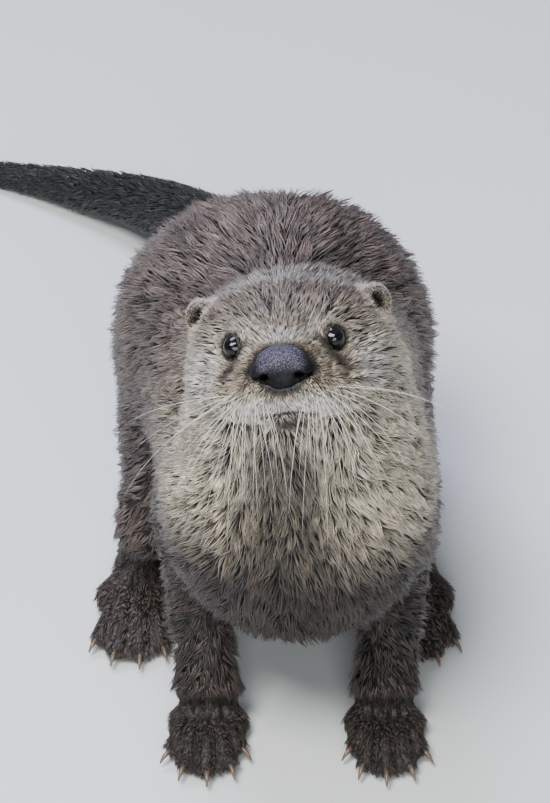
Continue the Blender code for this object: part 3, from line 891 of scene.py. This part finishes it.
# %% [markdown]
# ## The lie of the coat
# Fur grows away from the nose: back over the brow, down the throat, out over the shoulders and on to
# the tail and toes. The distance from the nose, walked over the skin, grows along just those lines,
# so the comb's direction at each point is the slope of that distance. Round the eyes the comb is
# turned aside, because no hair grows across an eye.

# %% Distance from the nose over the skin
def walked(surface, start):
    """The shortest way over the edges from a point to every other, in metres."""
    first, second = surface.edges.T
    steps = np.linalg.norm(surface.points[first] - surface.points[second], axis=1)
    ways = [[] for _ in surface.points]
    for a, b, step in zip(first.tolist(), second.tolist(), steps.tolist()):
        ways[a].append((b, step))
        ways[b].append((a, step))
    far = [math.inf] * len(ways)
    far[start] = 0.0
    queue = [(0.0, start)]
    while queue:
        done, here = heapq.heappop(queue)
        if done > far[here]:
            continue
        for there, step in ways[here]:
            if done + step < far[there]:
                far[there] = done + step
                heapq.heappush(queue, (done + step, there))
    return np.array(far)


NOSE_TOP = (0, -34, 3)
far = walked(skin, int(np.argmin(away_from(in_head(skin.points), NOSE_TOP))))
far[~np.isfinite(far)] = far[np.isfinite(far)].max()
far = skin.spread(far, 12)
print("longest walk from the nose", round(far.max(), 3), "m")

# %% The comb
PARTED_BY_EYE = (17 * MM, 8 * MM)


def slope(surface, values):
    """The direction in the skin in which a value grows fastest."""
    corners = surface.corners(surface.points)
    height = surface.corners(values)
    face = unit(surface.faces_across())
    turns = ((0, 2, 1), (1, 0, 2), (2, 1, 0))
    rise = sum(np.cross(face, corners[b] - corners[a]) * height[i][:, None] for i, b, a in turns)
    return surface.gathered(unit(rise))


def along_skin(vectors, normals):
    """Directions laid down in the skin."""
    return unit(vectors - normals * (vectors * normals).sum(axis=1)[:, None])


normals = skin.normals()
comb = along_skin(skin.spread(slope(skin, far), 14), normals)
for side in EYES:
    outward = skin.points - np.array(EYES[side])
    close = smooth_step(np.linalg.norm(outward, axis=1), *PARTED_BY_EYE)
    outward = along_skin(outward, normals)
    inflow = np.minimum((comb * outward).sum(axis=1), 0)
    comb = comb + outward * ((0.1 - 1.05 * inflow) * close)[:, None]
comb = along_skin(skin.spread(comb, 2), normals)
print("the coat lies on average towards", comb.mean(axis=0).round(2))

# %% [markdown]
# ## Markings
# The front of a river otter is pale, a grey cream on the lips, cheeks and throat. The back is a dark
# brown with a plum sheen, and the wet tail is nearly black. The face has light brows, a tan rim over
# the nose, a dark line from each eye down to the cheek and a dark spot under the lip. Each marking is
# a soft round or a soft edge in the head's or the body's own axes, and skin and hair read the same
# ones.

# %% Spots and stripes
SOFT_EDGE = 0.45
# place: centre and radii in the head's millimetres, softness of the edge, strength
LIGHT = {
    "brow": ((16, -7, 6), (5, 6, 4), SOFT_EDGE, 0.12),
    "beside_chin": ((20, -14, -33), (14, 10, 8), SOFT_EDGE, 0.4),
    "cheek": ((42, 5, -14), (10, 14, 13), 0.7, 0.75),
    "bridge": ((0, -16, 5), (9, 6, 4), 0.6, 0.7),
    "crown_edge": ((0, 52, 20), (46, 14, 15), 0.6, 0.38),
    "ear_rim": ((49, 44, 18), (9, 9, 5), SOFT_EDGE, 0.4),
}
WARM = {
    "over_nose": ((0, -25, -4), (18, 14.625, 10.125), 0.1556, 1.0),
    "under_eye": ((29, -12, -8), (6, 7, 5), SOFT_EDGE, 0.9),
    "beside_nose": ((18, -24, -12), (8, 8, 6), SOFT_EDGE, 0.8),
}
LIPS = ((9, -28, -24.5), (14, 10, 5))
CHIN = ((1, -23, -38.5), (10.5, 9, 8))
EYE_LINE = ((16.5, 2.5), (29, -15), 1.7)
EYE_LINE_BACK = 5


def soft_spot(spots, centre, radii, edge=SOFT_EDGE):
    """1 inside an ellipsoid on the head, and 0 outside, with a soft edge."""
    return smooth_step(away_from(spots, centre, radii), 1 + edge, 1 - edge)


def on_both_sides(spots, places):
    """The strongest of several soft spots, each on both sides of the head."""
    both = folded(spots)
    return np.maximum.reduce([soft_spot(both, *place[:3]) * place[3] for place in places.values()])


def stripe(spots, start, end, half):
    """1 along a stripe on the face and its mirror, from one place across and up to another."""
    seen = folded(spots)[:, ::2]
    start, way = np.array(start), np.array(end) - np.array(start)
    share = np.clip((seen - start) @ way / (way @ way), 0, 1)
    gap = np.linalg.norm(seen - start - share[:, None] * way, axis=1) / half
    return smooth_step(gap, 1.5, 0.5) * (spots[:, 1] < EYE_LINE_BACK)


print("light places", len(LIGHT), "and warm ones", len(WARM))

# %% Markings on the skin
NOSE_MIDDLE = (0, -26, -8)
NOSE_REACH = 24


def shade_down_throat(points):
    """Painted shade under the chin: 1 down the middle of the throat and chest, in a wedge that widens
    downwards.
    """
    height = points[:, 2] - EYE_MIDDLE.z
    half = 0.012 + 0.16 * np.clip(-0.05 - height, 0, 0.1)
    wedge = smooth_step(np.abs(points[:, 0] - EYE_MIDDLE.x) / half, 1.9, 0.4)
    return wedge * smooth_step(height, -0.038, -0.068) * (points[:, 1] < EYE_MIDDLE.y + 0.08)


def markings(points, normals):
    """Masks from 0 to 1: pale front, light patches, dark marks with painted shade on the throat and low
    chest, wet tail, and warm tan.
    """
    spots = in_head(points)
    over = over_mouth(spots)
    facing = -normals[:, 1] + 0.15 * normals[:, 2]
    breast = smooth_step(points[:, 1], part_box("loins")[0].y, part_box("chest")[0].y + 0.02)
    off_centre = np.maximum(np.abs(points[:, 0] - EYE_MIDDLE.x) - 0.02, 0)
    # darker low on the front: the chest's own brown below, and painted shadow low on the chest
    low_down = smooth_step(points[:, 2] + 0.3 * off_centre, 0.195, 0.135)
    pale = smooth_step(facing, -0.7, 0.3) * breast * (1 - 0.95 * low_down)
    head = smooth_step(away_from(spots, (0, 28, -10)), 78, 62)
    crown = smooth_step(spots[:, 2], -5, 18) * smooth_step(spots[:, 1], -30, 0)
    pale = pale * (1 - head) + head * (1 - 0.82 * crown)
    lips = soft_spot(folded(spots), *LIPS) * smooth_step(over, -0.6, 0.8)
    light = np.maximum(on_both_sides(spots, LIGHT), lips)
    warm = on_both_sides(spots, WARM) * (1 - lips)
    dark = {
        "eye_line": stripe(spots, *EYE_LINE) * 0.8,
        "eye_rim": smooth_step(opening_ring(points), 1.45, 1.1) * 0.9,
        "chin": soft_spot(spots, *CHIN) * 0.97,
        "ear_hollow": smooth_step(from_ear_axis(spots), 7.6, 6.0),
        "mouth_line": np.exp(-((over / 1.3) ** 2)) * along_mouth(spots),
        # painted shade down the middle of the throat, under the chin
        "throat": shade_down_throat(points) * 0.8,
        # the low chest's own brown, and painted shadow
        "low_chest": low_down * 0.96 * breast,
        "feet": smooth_step(points[:, 2], 0.1, 0.03) * 0.6,
    }
    tail = smooth_step(points[:, 1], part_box("rump")[1].y - 0.03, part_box("tail_root")[0].y + 0.05)
    return np.stack([pale, light, np.maximum.reduce(list(dark.values())), tail, warm], axis=1)


spots = in_head(skin.points)
masks = markings(skin.points, normals)
near_nose = np.flatnonzero(away_from(spots, NOSE_MIDDLE) < NOSE_REACH)
gaps = np.array([nose_outline.find_nearest(spot)[3] for spot in spots[near_nose]])
masks[near_nose, 2] = np.maximum(masks[near_nose, 2], smooth_step(gaps, 1.8, 0.6))
print("share of the skin in each marking", masks.mean(axis=0).round(2))

# %% [markdown]
# ## A lock of fur
# Wet fur hangs together in pointed locks. Each lock here is a closed spindle: a point in the skin, one
# or two three-sided rings with a ridge on top to catch the light, and a point at the tip. Locks that
# stand near each other lean their tips together, which opens the dark partings between them.

# %% Roots
SQUARE_CM = 1e4
WAVES, WAVES_PEAK = 7, 3.2
COAT_SEED = 7
rng = np.random.default_rng(COAT_SEED)


def scatter(surface, density, fields):
    """Roots strewn evenly over the surface, by a density for each square centimetre.

    Gives the triangle of each root, and each field's value there."""
    areas = np.linalg.norm(surface.faces_across(), axis=1) / 2 * SQUARE_CM
    wanted = np.cumsum(areas * density[surface.triangles].mean(axis=1))
    count = int(wanted[-1])
    picks = np.searchsorted(wanted, (np.arange(count) + rng.random(count)) * wanted[-1] / count)
    picks = np.minimum(picks, len(areas) - 1)
    first, second = rng.random((2, count))
    over = first + second > 1
    first[over], second[over] = 1 - first[over], 1 - second[over]
    weights = np.stack([1 - first - second, first, second], axis=1)
    corners = surface.triangles[picks]
    return picks, [(values[corners] * weights[..., None]).sum(axis=1) for values in fields]


def clumps_of(roots, members):
    """For each root, the index of the root that leads its clump, by how many share a clump there."""
    leaders = np.flatnonzero(rng.random(len(roots)) < 1 / members)
    return leaders[nearest(roots[leaders], roots)]


def ripple(points, size, seed):
    """A smooth random value from about -1 to 1, in waves of about this size."""
    draw = np.random.default_rng(seed)
    waves = unit(draw.normal(size=(WAVES, 3))) * draw.uniform(0.7, 1.4, (WAVES, 1)) * math.tau / size
    return np.sin(points @ waves.T + draw.uniform(0, math.tau, WAVES)).sum(axis=1) / WAVES_PEAK


print("a ripple at the eyes is", ripple(np.array([EYE_MIDDLE]), 0.03, 1).round(2))

# %% Locks
RING_SIDES = 3
RING_ANGLES = (math.radians(205), math.radians(-25), math.radians(90))
RING_HEIGHT = 0.6
ROOT_DEPTH = 0.4 * MM
ON_FLOOR = 0.1 * MM
EARLY_RISE, LATE_LEAN = 0.85, 1.6
# each ring's share of the lock's length, and its share of the lock's width
ONE_RING = ((0.38, 1.0),)
TWO_RINGS = ((0.25, 0.95), (0.65, 0.8))


def turned(vectors, axes, angles):
    """Vectors turned about unit axes at right angles to them."""
    return vectors * np.cos(angles)[:, None] + np.cross(axes, vectors) * np.sin(angles)[:, None]


def hair_line(roots, up, lie, long, stand, share):
    """Points at some shares of each hair's length, which rises most near its root."""
    ahead = lie[:, None] * (long[:, None] * share)[..., None]
    return roots[:, None] + ahead + up[:, None] * (stand[:, None] * share**EARLY_RISE)[..., None]


def grow_locks(roots, up, lie, long, wide, stand, leader, pull, rings):
    """The points of every lock, as locks x points x 3: the root, the rings and the tip.

    Hair that reaches under the floor is pressed flat on it."""
    share = np.array([0.0, *(ring[0] for ring in rings), 1.0])
    across = np.cross(lie, up)
    line = hair_line(roots, up, lie, long, stand, share)
    led = hair_line(*(values[leader] for values in (roots, up, lie, long, stand)), share)
    line += (led - line) * (pull[:, None] * share**LATE_LEAN)[..., None]
    line[:, 0] -= up * ROOT_DEPTH
    layers = [line[:, 0]]
    for number, (_, girth) in enumerate(rings, 1):
        for angle in RING_ANGLES:
            out = across * math.cos(angle) + up * math.sin(angle) * RING_HEIGHT
            layers.append(line[:, number] + out * (wide * girth / 2)[:, None])
    layers.append(line[:, -1])
    points = np.stack(layers, axis=1)
    points[..., 2] = np.maximum(points[..., 2], ON_FLOOR)
    return points


def lock_faces(rings):
    """The triangles of one lock with so many rings."""
    tip = 1 + RING_SIDES * rings
    faces = []
    for side in range(RING_SIDES):
        after = (side + 1) % RING_SIDES
        faces.append((0, 1 + side, 1 + after))
        for ring in range(rings - 1):
            here, there = 1 + RING_SIDES * ring, 1 + RING_SIDES * (ring + 1)
            faces.append((here + side, there + side, here + after))
            faces.append((here + after, there + side, there + after))
        last = tip - RING_SIDES
        faces.append((last + after, last + side, tip))
    return np.array(faces)


print("a short lock has", len(lock_faces(1)), "faces and a long one", len(lock_faces(2)))

# %% [markdown]
# ## The coat's colour
# Guard hair is dark at the root and light at the tip, and when it is wet the roots show in every
# parting. So the shader runs each lock from a root colour to a tip colour, picks both from the
# markings, and makes every lock a little lighter or darker than the next. Damp keratin has a
# refractive index of about 1.55 and a soft gloss.

# %% Damp fur
# marking: colour at the root and at the tip
HAIR = {
    "back": ("#1B1513", "#7E7069"),
    "pale": ("#211912", "#EEE1C8"),
    "light": ("#8A857D", "#FCFAF4"),
    "dark": ("#0E0B0A", "#3B3129"),
    "warm": ("#44372C", "#B09D86"),
    "tail": ("#090A09", "#3B3D38"),
}
ROOT, TIP = 0, 1
# real underfur is too fine to show, so its grain is drawn as coarse as it needs to be
UNDERFUR_GRAIN = 0.7 * MM


def marked_colour(tree, end):
    """The colour of a hair's root or tip at each place, from the markings."""
    back, pale, light, dark, warm, tail = (linear(pair[end]) for pair in HAIR.values())
    marks = add_node(tree, "Attribute", {"attribute_name": "markings"})
    tan = add_node(tree, "Attribute", {"attribute_name": "warm"})
    parts = add_node(tree, "SeparateColor", Color=marks.outputs["Color"]).outputs
    colour = blended(tree, parts[0], back, pale)
    colour = blended(tree, tan.outputs["Fac"], colour, warm)
    colour = blended(tree, parts[1], colour, light)
    colour = blended(tree, parts[2], colour, dark)
    return blended(tree, marks.outputs["Alpha"], colour, tail)


def damp_fur():
    """Damp guard hair: dark partings, light tips and a soft gloss along each lock."""
    material, tree, shader = new_material("damp_guard_hair")
    along = add_node(tree, "Attribute", {"attribute_name": "along"}).outputs["Fac"]
    shade = add_node(tree, "Attribute", {"attribute_name": "shade"}).outputs["Fac"]
    reach = add_node(tree, "Math", {"operation": "MULTIPLY_ADD"}, _0=shade, _1=0.4, _2=along)
    rise = add_node(tree, "MapRange", SMOOTH, Value=reach.outputs[0], From_Min=0.22, From_Max=1.05)
    colour = blended(tree, rise.outputs[0], marked_colour(tree, ROOT), marked_colour(tree, TIP))
    bright = add_node(tree, "MapRange", Value=shade, To_Min=0.52, To_Max=1.32)
    varied = add_node(tree, "HueSaturation", Color=colour, Value=bright.outputs[0])
    set_sockets(shader, Base_Color=varied.outputs[0], Roughness=0.4, IOR=1.55)
    return material


def damp_skin():
    """Damp underfur: dense and matt, seen only in the partings, with its root colours halved as painted
    shade.
    """
    material, tree, shader = new_material("damp_underfur")
    # the root colours at half brightness: painted shade in the partings
    deep = add_node(tree, "HueSaturation", Color=marked_colour(tree, ROOT), Value=0.5)
    place = add_node(tree, "TexCoord").outputs["Object"]
    grain = add_node(tree, "TexNoise", Vector=place, Scale=1 / UNDERFUR_GRAIN, Detail=3.0)
    bump = add_node(tree, "Bump", Strength=0.6, Distance=0.4 * MM, Height=grain.outputs["Fac"])
    set_sockets(shader, Base_Color=deep.outputs[0], Normal=bump.outputs[0], Roughness=0.55)
    return material


def mark(piece, marks):
    """Stores the markings on a piece: four in one colour, and the warm tan on its own."""
    give_values(piece, "markings", marks[:, :4])
    give_values(piece, "warm", marks[:, 4])


GUARD_HAIR = damp_fur()
skin_piece = object_from("skin", skin.points, skin.triangles, damp_skin())
mark(skin_piece, masks)
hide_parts(*FLESH)
print("skin piece", len(skin_piece.data.polygons), "faces, colours", 2 * len(HAIR))

# %% [markdown]
# ## Combing the locks out
# The coat is grown over the whole skin at once, so that locks cross from part to part without a
# break, and is then parted into pieces of a size that any program can open. Each lock also gets a
# small patch on a map of its part: the angle round the part against the walk from the nose.

# %% Parts of the coat
PARTS = {
    "head": ["head", "left_ear", "right_ear", "nose", "left_eye", "right_eye"],
    "throat": ["neck"],
    "breast": ["chest"],
    "back": ["loins", "rump"],
    "left_fore_leg": ["left_fore_leg", "left_paw"],
    "right_fore_leg": ["right_fore_leg", "right_paw"],
    "left_hind_leg": ["left_hind_leg", "left_foot"],
    "right_hind_leg": ["right_hind_leg", "right_foot"],
    "tail": ["tail_root", "tail_middle", "tail_tip"],
}
PART_OF = {node: number for number, nodes in enumerate(PARTS.values()) for node in nodes}
LONG_HAIRED = ("throat", "breast", "back")
MOST_FACES = 190_000
PATCH = 0.003
MAP_MARGIN = 0.01


def part_map(roots, far_there):
    """A place from 0 to 1 for each root: the angle round its part, and the walk from the nose."""
    early = roots[far_there < np.quantile(far_there, 0.3)].mean(axis=0)
    late = roots[far_there > np.quantile(far_there, 0.7)].mean(axis=0)
    axis = unit(late - early)
    side = unit(np.cross(axis, (0.3, 0.2, 1)))
    out = roots - roots.mean(axis=0)
    angle = np.arctan2(out @ np.cross(axis, side), out @ side) / math.tau + 0.5
    span = (far_there - far_there.min()) / np.ptp(far_there)
    return MAP_MARGIN + (1 - 2 * MAP_MARGIN) * np.stack([angle, span], axis=1)


print("parts", len(PARTS), "of", len(PART_OF), "nodes")

# %% A piece of the coat
def lock_corners(faces, rings):
    """Each face corner's place on a lock's patch, from -0.5 to 0.5 across and along it."""
    rows = [0.0, *(ring[0] for ring in rings), 1.0]
    spots = []
    for face in faces:
        columns = [(corner - 1) % RING_SIDES for corner in face]
        wraps = 0 in columns and RING_SIDES - 1 in columns
        for corner, column in zip(face, columns):
            row = 0 if corner == 0 else 1 + (corner - 1) // RING_SIDES
            pole = corner == 0 or corner == faces.max()
            x = column + (RING_SIDES if wraps and column == 0 and not pole else 0)
            spots.append((x / RING_SIDES - 0.5, rows[row] - 0.5))
    return np.array(spots)


def coat_piece(name, points, shade, marks, places, rings):
    """One piece of the coat, from its locks' points and what each lock carries."""
    faces = lock_faces(len(rings))
    count, corners = points.shape[:2]
    every = (faces[None] + (np.arange(count) * corners)[:, None, None]).reshape(-1, 3)
    made = object_from(name, points.reshape(-1, 3), every, GUARD_HAIR)
    along = np.concatenate([[0.0], np.repeat([ring[0] for ring in rings], RING_SIDES), [1.0]])
    give_values(made, "along", np.tile(along, count))
    give_values(made, "shade", np.repeat(shade, corners))
    mark(made, np.repeat(marks, corners, axis=0))
    give_patches(made, places[:, None] + lock_corners(faces, rings) * PATCH)


print("a short lock's patch has", len(lock_corners(lock_faces(1), ONE_RING)), "corners")

# %% How much hair grows where
EYE_BARE = 1.08
MUZZLE = (0, -26, -10)


def eye_close(points):
    """The distance to the nearer eye's middle, in millimetres."""
    return np.minimum(*(away_from(points, EYES[side]) for side in EYES)) / MM


from_nose = away_from(spots, MUZZLE)
from_muzzle = smooth_step(from_nose, 12, 48)
near_lip = smooth_step(np.abs(over_mouth(spots)), 0, 7)
near_lip = 1 - (1 - near_lip) * along_mouth(spots, 3)
by_eye = smooth_step(eye_close(skin.points), 8, 16)
by_ear = smooth_step(from_ear_axis(spots), 9, 18)
shorter = (0.6 + 0.4 * from_muzzle) * (0.4 + 0.6 * near_lip)
shorter = shorter * (0.45 + 0.55 * by_eye) * (0.32 + 0.68 * by_ear)
finer = (0.75 + 0.25 * from_muzzle) * (0.75 + 0.25 * by_eye) * (0.8 + 0.2 * by_ear)
coarser = 1 + 0.5 * smooth_step(from_nose, 36, 66) * smooth_step(length, 12, 8) * by_ear
shorter, finer = shorter * coarser, finer * coarser
length, width, locks = length * shorter, width * finer, locks / (shorter * finer) ** 0.85
in_groove = (np.abs(over_mouth(spots)) < GROOVE_HALF) & along_mouth(spots)
density = np.where((eye_ring < EYE_BARE) | in_groove | (in_ear(spots) > 0.5), 0, locks)
print("locks on a square centimetre, at most", int(density.max()))

# %% Roots over the whole skin
SOLE_HEIGHT = 4 * MM
FACING_DOWN = -0.5
UNDER_PAD = 0.05
measures = np.column_stack([length * MM, width * MM, depth * MM, far])
picks, fields = scatter(skin, density, [skin.points, normals, comb, measures, masks])


def under_nose(spot):
    """Whether a place in the head's millimetres is inside the outline of the nose pad."""
    place, outward, _, _ = nose_outline.find_nearest(spot)
    return (Vector(spot) - place).dot(outward) < UNDER_PAD


bare = (fields[0][:, 2] < SOLE_HEIGHT) & (fields[1][:, 2] < FACING_DOWN)
root_spots = in_head(fields[0])
close = np.flatnonzero(away_from(root_spots, NOSE_MIDDLE) < NOSE_REACH)
bare[close] |= [under_nose(spot) for spot in root_spots[close]]
picks, root_spots, roots, up, lie, measured, root_marks = (
    values[~bare] for values in (picks, root_spots, *fields)
)
part = np.array([PART_OF[name] for name in owner])[skin.triangles[picks, 0]]
count = len(roots)
print("roots", count, "and", int(bare.sum()), "left out under the nose and on the soles")

# %% How each lock lies
STRAYS = 0.3
long, wide, deep, root_far = measured.T
up, lie = unit(up), along_skin(lie, unit(up))
long_coat = smooth_step(deep, 1.8 * MM, 3.6 * MM)
sway = 0.2 * ripple(roots, 0.03, 1) + 0.2 * ripple(roots, 0.009, 2)
lie = turned(lie, up, sway * (0.55 + 0.45 * long_coat) + rng.normal(0, 0.13, count))
long = long * rng.uniform(0.72, 1.18, count)
wide = wide * rng.uniform(0.7, 1.25, count)
stand = deep * rng.uniform(0.6, 1.1, count)
stray = rng.random(count) < STRAYS
wide = np.where(stray, wide * 0.5, wide)
on_crown = smooth_step(root_spots[:, 1], -8, 12) * (1 - long_coat)
stand = stand * (1 + 0.7 * on_crown) * np.where(stray, 1.6, 1)
print("strays", int(stray.sum()), "and longest lock", round(long.max() / MM, 1), "mm")

# %% Clumps
CLUMP_SHORT, CLUMP_LONG = 6, 11
leader = clumps_of(roots, CLUMP_SHORT + (CLUMP_LONG - CLUMP_SHORT) * long_coat)
shade = 0.4 * rng.random(count) + 0.6 * rng.random(count)[leader]
pull = np.where(stray, 0.3, rng.uniform(0.58, 0.86, count) + 0.12 * long_coat)
pull = pull * (0.3 + 0.7 * smooth_step(long, 2.5 * MM, 6 * MM))
print("locks", count, "in", len(np.unique(leader)), "clumps")

# %% Coat pieces
total = 0
short_and_long = [
    grow_locks(roots, up, lie, long, wide, stand, leader, pull, rings) for rings in (ONE_RING, TWO_RINGS)
]
for number, name in enumerate(PARTS):
    is_long = name in LONG_HAIRED
    rings = TWO_RINGS if is_long else ONE_RING
    mine = np.flatnonzero(part == number)
    carried = (short_and_long[is_long][mine], shade[mine], root_marks[mine])
    places = part_map(roots[mine], root_far[mine])
    faces = len(mine) * len(lock_faces(len(rings)))
    pieces = math.ceil(faces / MOST_FACES)
    for piece in range(pieces):
        some = (values[piece::pieces] for values in (*carried, places))
        coat_piece(f"coat_{name}_{piece + 1}", *some, rings)
    total += faces
    print(name, len(mine), "locks,", faces, "faces in", pieces, "pieces")
print("coat faces", total)

# %% [markdown]
# ## Whiskers
# An otter hunts by touch, with some fifty stiff pale whiskers rooted in rows on the muzzle and a few
# over the eyes. The lower ones hang in a fan over the throat and the upper ones arch out to the
# sides. Each is a thin tapered tube that starts along the skin, sags under its own weight, and is
# pushed out wherever it would dip into the coat.

# %% Whisker paths
WHISKER_STEPS = 14
WHISKER_ROWS = 5
BROW_WHISKERS = 3
WHISKER_CLEAR = 1.1 * MM
WHISKER_LONGEST = 74
WHISKER_IN_SKIN = 3 * MM
WHISKER_SEED = 11
FOREMOST = CAD_BOX[0][1] - 27 * MM
DOWN = Vector((0, 0, -1))


def on_muzzle(side, across, height):
    """The coat's surface on the muzzle at a distance across and a height, in the head's axes."""
    start = from_head(side * across * 1.6, -80, height - 4)
    toward = (from_head(side * across * 0.9, 0, height) - start).normalized()
    place, outward, _, _ = flesh_tree.ray_cast(start, toward)
    return place, outward


def whisker_path(place, outward, aim, long, sag):
    """Points down one whisker, in metres."""
    way = (outward * 0.45 + aim).normalized()
    points = [place - outward * WHISKER_IN_SKIN]
    here = place
    for step in range(WHISKER_STEPS):
        points.append(here.copy())
        way = (way + DOWN * sag * (step + 1) / WHISKER_STEPS).normalized()
        ahead = here + way * long / WHISKER_STEPS
        near, surface_out, _, _ = flesh_tree.find_nearest(ahead)
        above = (ahead - near).dot(surface_out)
        if above < WHISKER_CLEAR:
            ahead += surface_out * (WHISKER_CLEAR - above)
        ahead.y = max(ahead.y, FOREMOST)
        way = (ahead - here).normalized()
        here = ahead
    points.append(here)
    return np.array(points)


def whisker_plan(draw):
    """Root, aim, length and sag of every whisker: five rows of five on each side, and three brows."""
    for side in (1, -1):
        for row in range(WHISKER_ROWS):
            low = row / (WHISKER_ROWS - 1)
            for column in range(WHISKER_ROWS):
                across = 10 - 3 * low + 4.4 * column + draw.uniform(-1.5, 1.5)
                height = -17 - 2.6 * row - 0.6 * column + draw.uniform(-1.1, 1.1)
                wide = (0.28 - 0.13 * low) * column - 0.42 * low + draw.uniform(-0.12, 0.12)
                aim = HEAD_X * side * wide - HEAD_Z * (0.15 + 1.0 * low) - HEAD_Y * 0.02
                long = (42 + 8 * column) * draw.uniform(0.75, 1.2) * (0.8 + 0.35 * low)
                yield side, across, height, aim, min(long, WHISKER_LONGEST) * MM, 0.08 + 0.16 * low
        for number in range(BROW_WHISKERS):
            aim = HEAD_X * side * (0.5 + 0.2 * number) + HEAD_Z * 0.9
            yield side, 15 + 3 * number, 10 - number, aim, (17 - 2 * number) * MM, 0.06


print("whiskers planned", len(list(whisker_plan(np.random.default_rng(WHISKER_SEED)))))

# %% Whisker tubes
WHISKER_SIDES = 5
WHISKER_RINGS = WHISKER_STEPS + 2
WHISKER_ROOT = 0.25 * MM


def tube(path, girth):
    """Rings of points round a path, tapering to a fine tip."""
    rings = []
    for i, point in enumerate(path):
        way = unit(path[min(i + 1, len(path) - 1)] - path[max(i - 1, 0)])
        side = unit(np.cross(way, (0.31, 0.18, 0.93)))
        other = np.cross(way, side)
        reach = girth / 2 * (1 - 0.85 * (i / (len(path) - 1)) ** 1.3)
        for number in range(WHISKER_SIDES):
            angle = math.tau * number / WHISKER_SIDES
            rings.append(point + (side * math.cos(angle) + other * math.sin(angle)) * reach)
    return np.array(rings)


def tube_faces(rings):
    """The triangles of one tube with so many rings, closed at both ends."""
    faces = []
    for ring in range(rings - 1):
        for number in range(WHISKER_SIDES):
            a = ring * WHISKER_SIDES + number
            b = ring * WHISKER_SIDES + (number + 1) % WHISKER_SIDES
            faces += [(a, b, b + WHISKER_SIDES), (a, b + WHISKER_SIDES, a + WHISKER_SIDES)]
    last = (rings - 1) * WHISKER_SIDES
    for number in range(1, WHISKER_SIDES - 1):
        faces.append((0, number + 1, number))
        faces.append((last, last + number, last + number + 1))
    return np.array(faces)


whisker_draw = np.random.default_rng(WHISKER_SEED)
tubes = []
for side, across, height, aim, long, sag in whisker_plan(whisker_draw):
    place, outward = on_muzzle(side, across, height)
    if place is not None:
        path = whisker_path(place, outward, aim, long, sag)
        tubes.append(tube(path, WHISKER_ROOT * whisker_draw.uniform(0.75, 1.1)))
one_tube = tube_faces(WHISKER_RINGS)
print("whiskers", len(tubes), "of", len(one_tube), "faces each")

# %% Pale keratin
UNEVENNESS = 8.3 * MM


def whisker_finish():
    """Grown keratin without pigment: pale, smooth and a little uneven in tone."""
    material, tree, shader = new_material("pale_whisker_keratin")
    place = add_node(tree, "TexCoord").outputs["Object"]
    uneven = add_node(tree, "TexNoise", Vector=place, Scale=1 / UNEVENNESS, Detail=2.0)
    colour = blended(tree, uneven.outputs["Fac"], linear("#D5D2C4"), linear("#F6F6F0"))
    set_sockets(shader, Base_Color=colour, Roughness=0.32, IOR=1.55)
    return material


all_faces = np.concatenate([one_tube + i * len(tubes[0]) for i in range(len(tubes))])
whiskers = object_from("whiskers", np.concatenate(tubes), all_faces, whisker_finish())
corners = one_tube.ravel()
around = np.column_stack([corners % WHISKER_SIDES / WHISKER_SIDES, corners // WHISKER_SIDES / WHISKER_RINGS])
places = 0.05 + 0.9 * np.arange(len(tubes)) / len(tubes)
give_patches(whiskers, places[:, None, None] + (around - 0.5) * PATCH)
print("whiskers", len(all_faces), "faces")
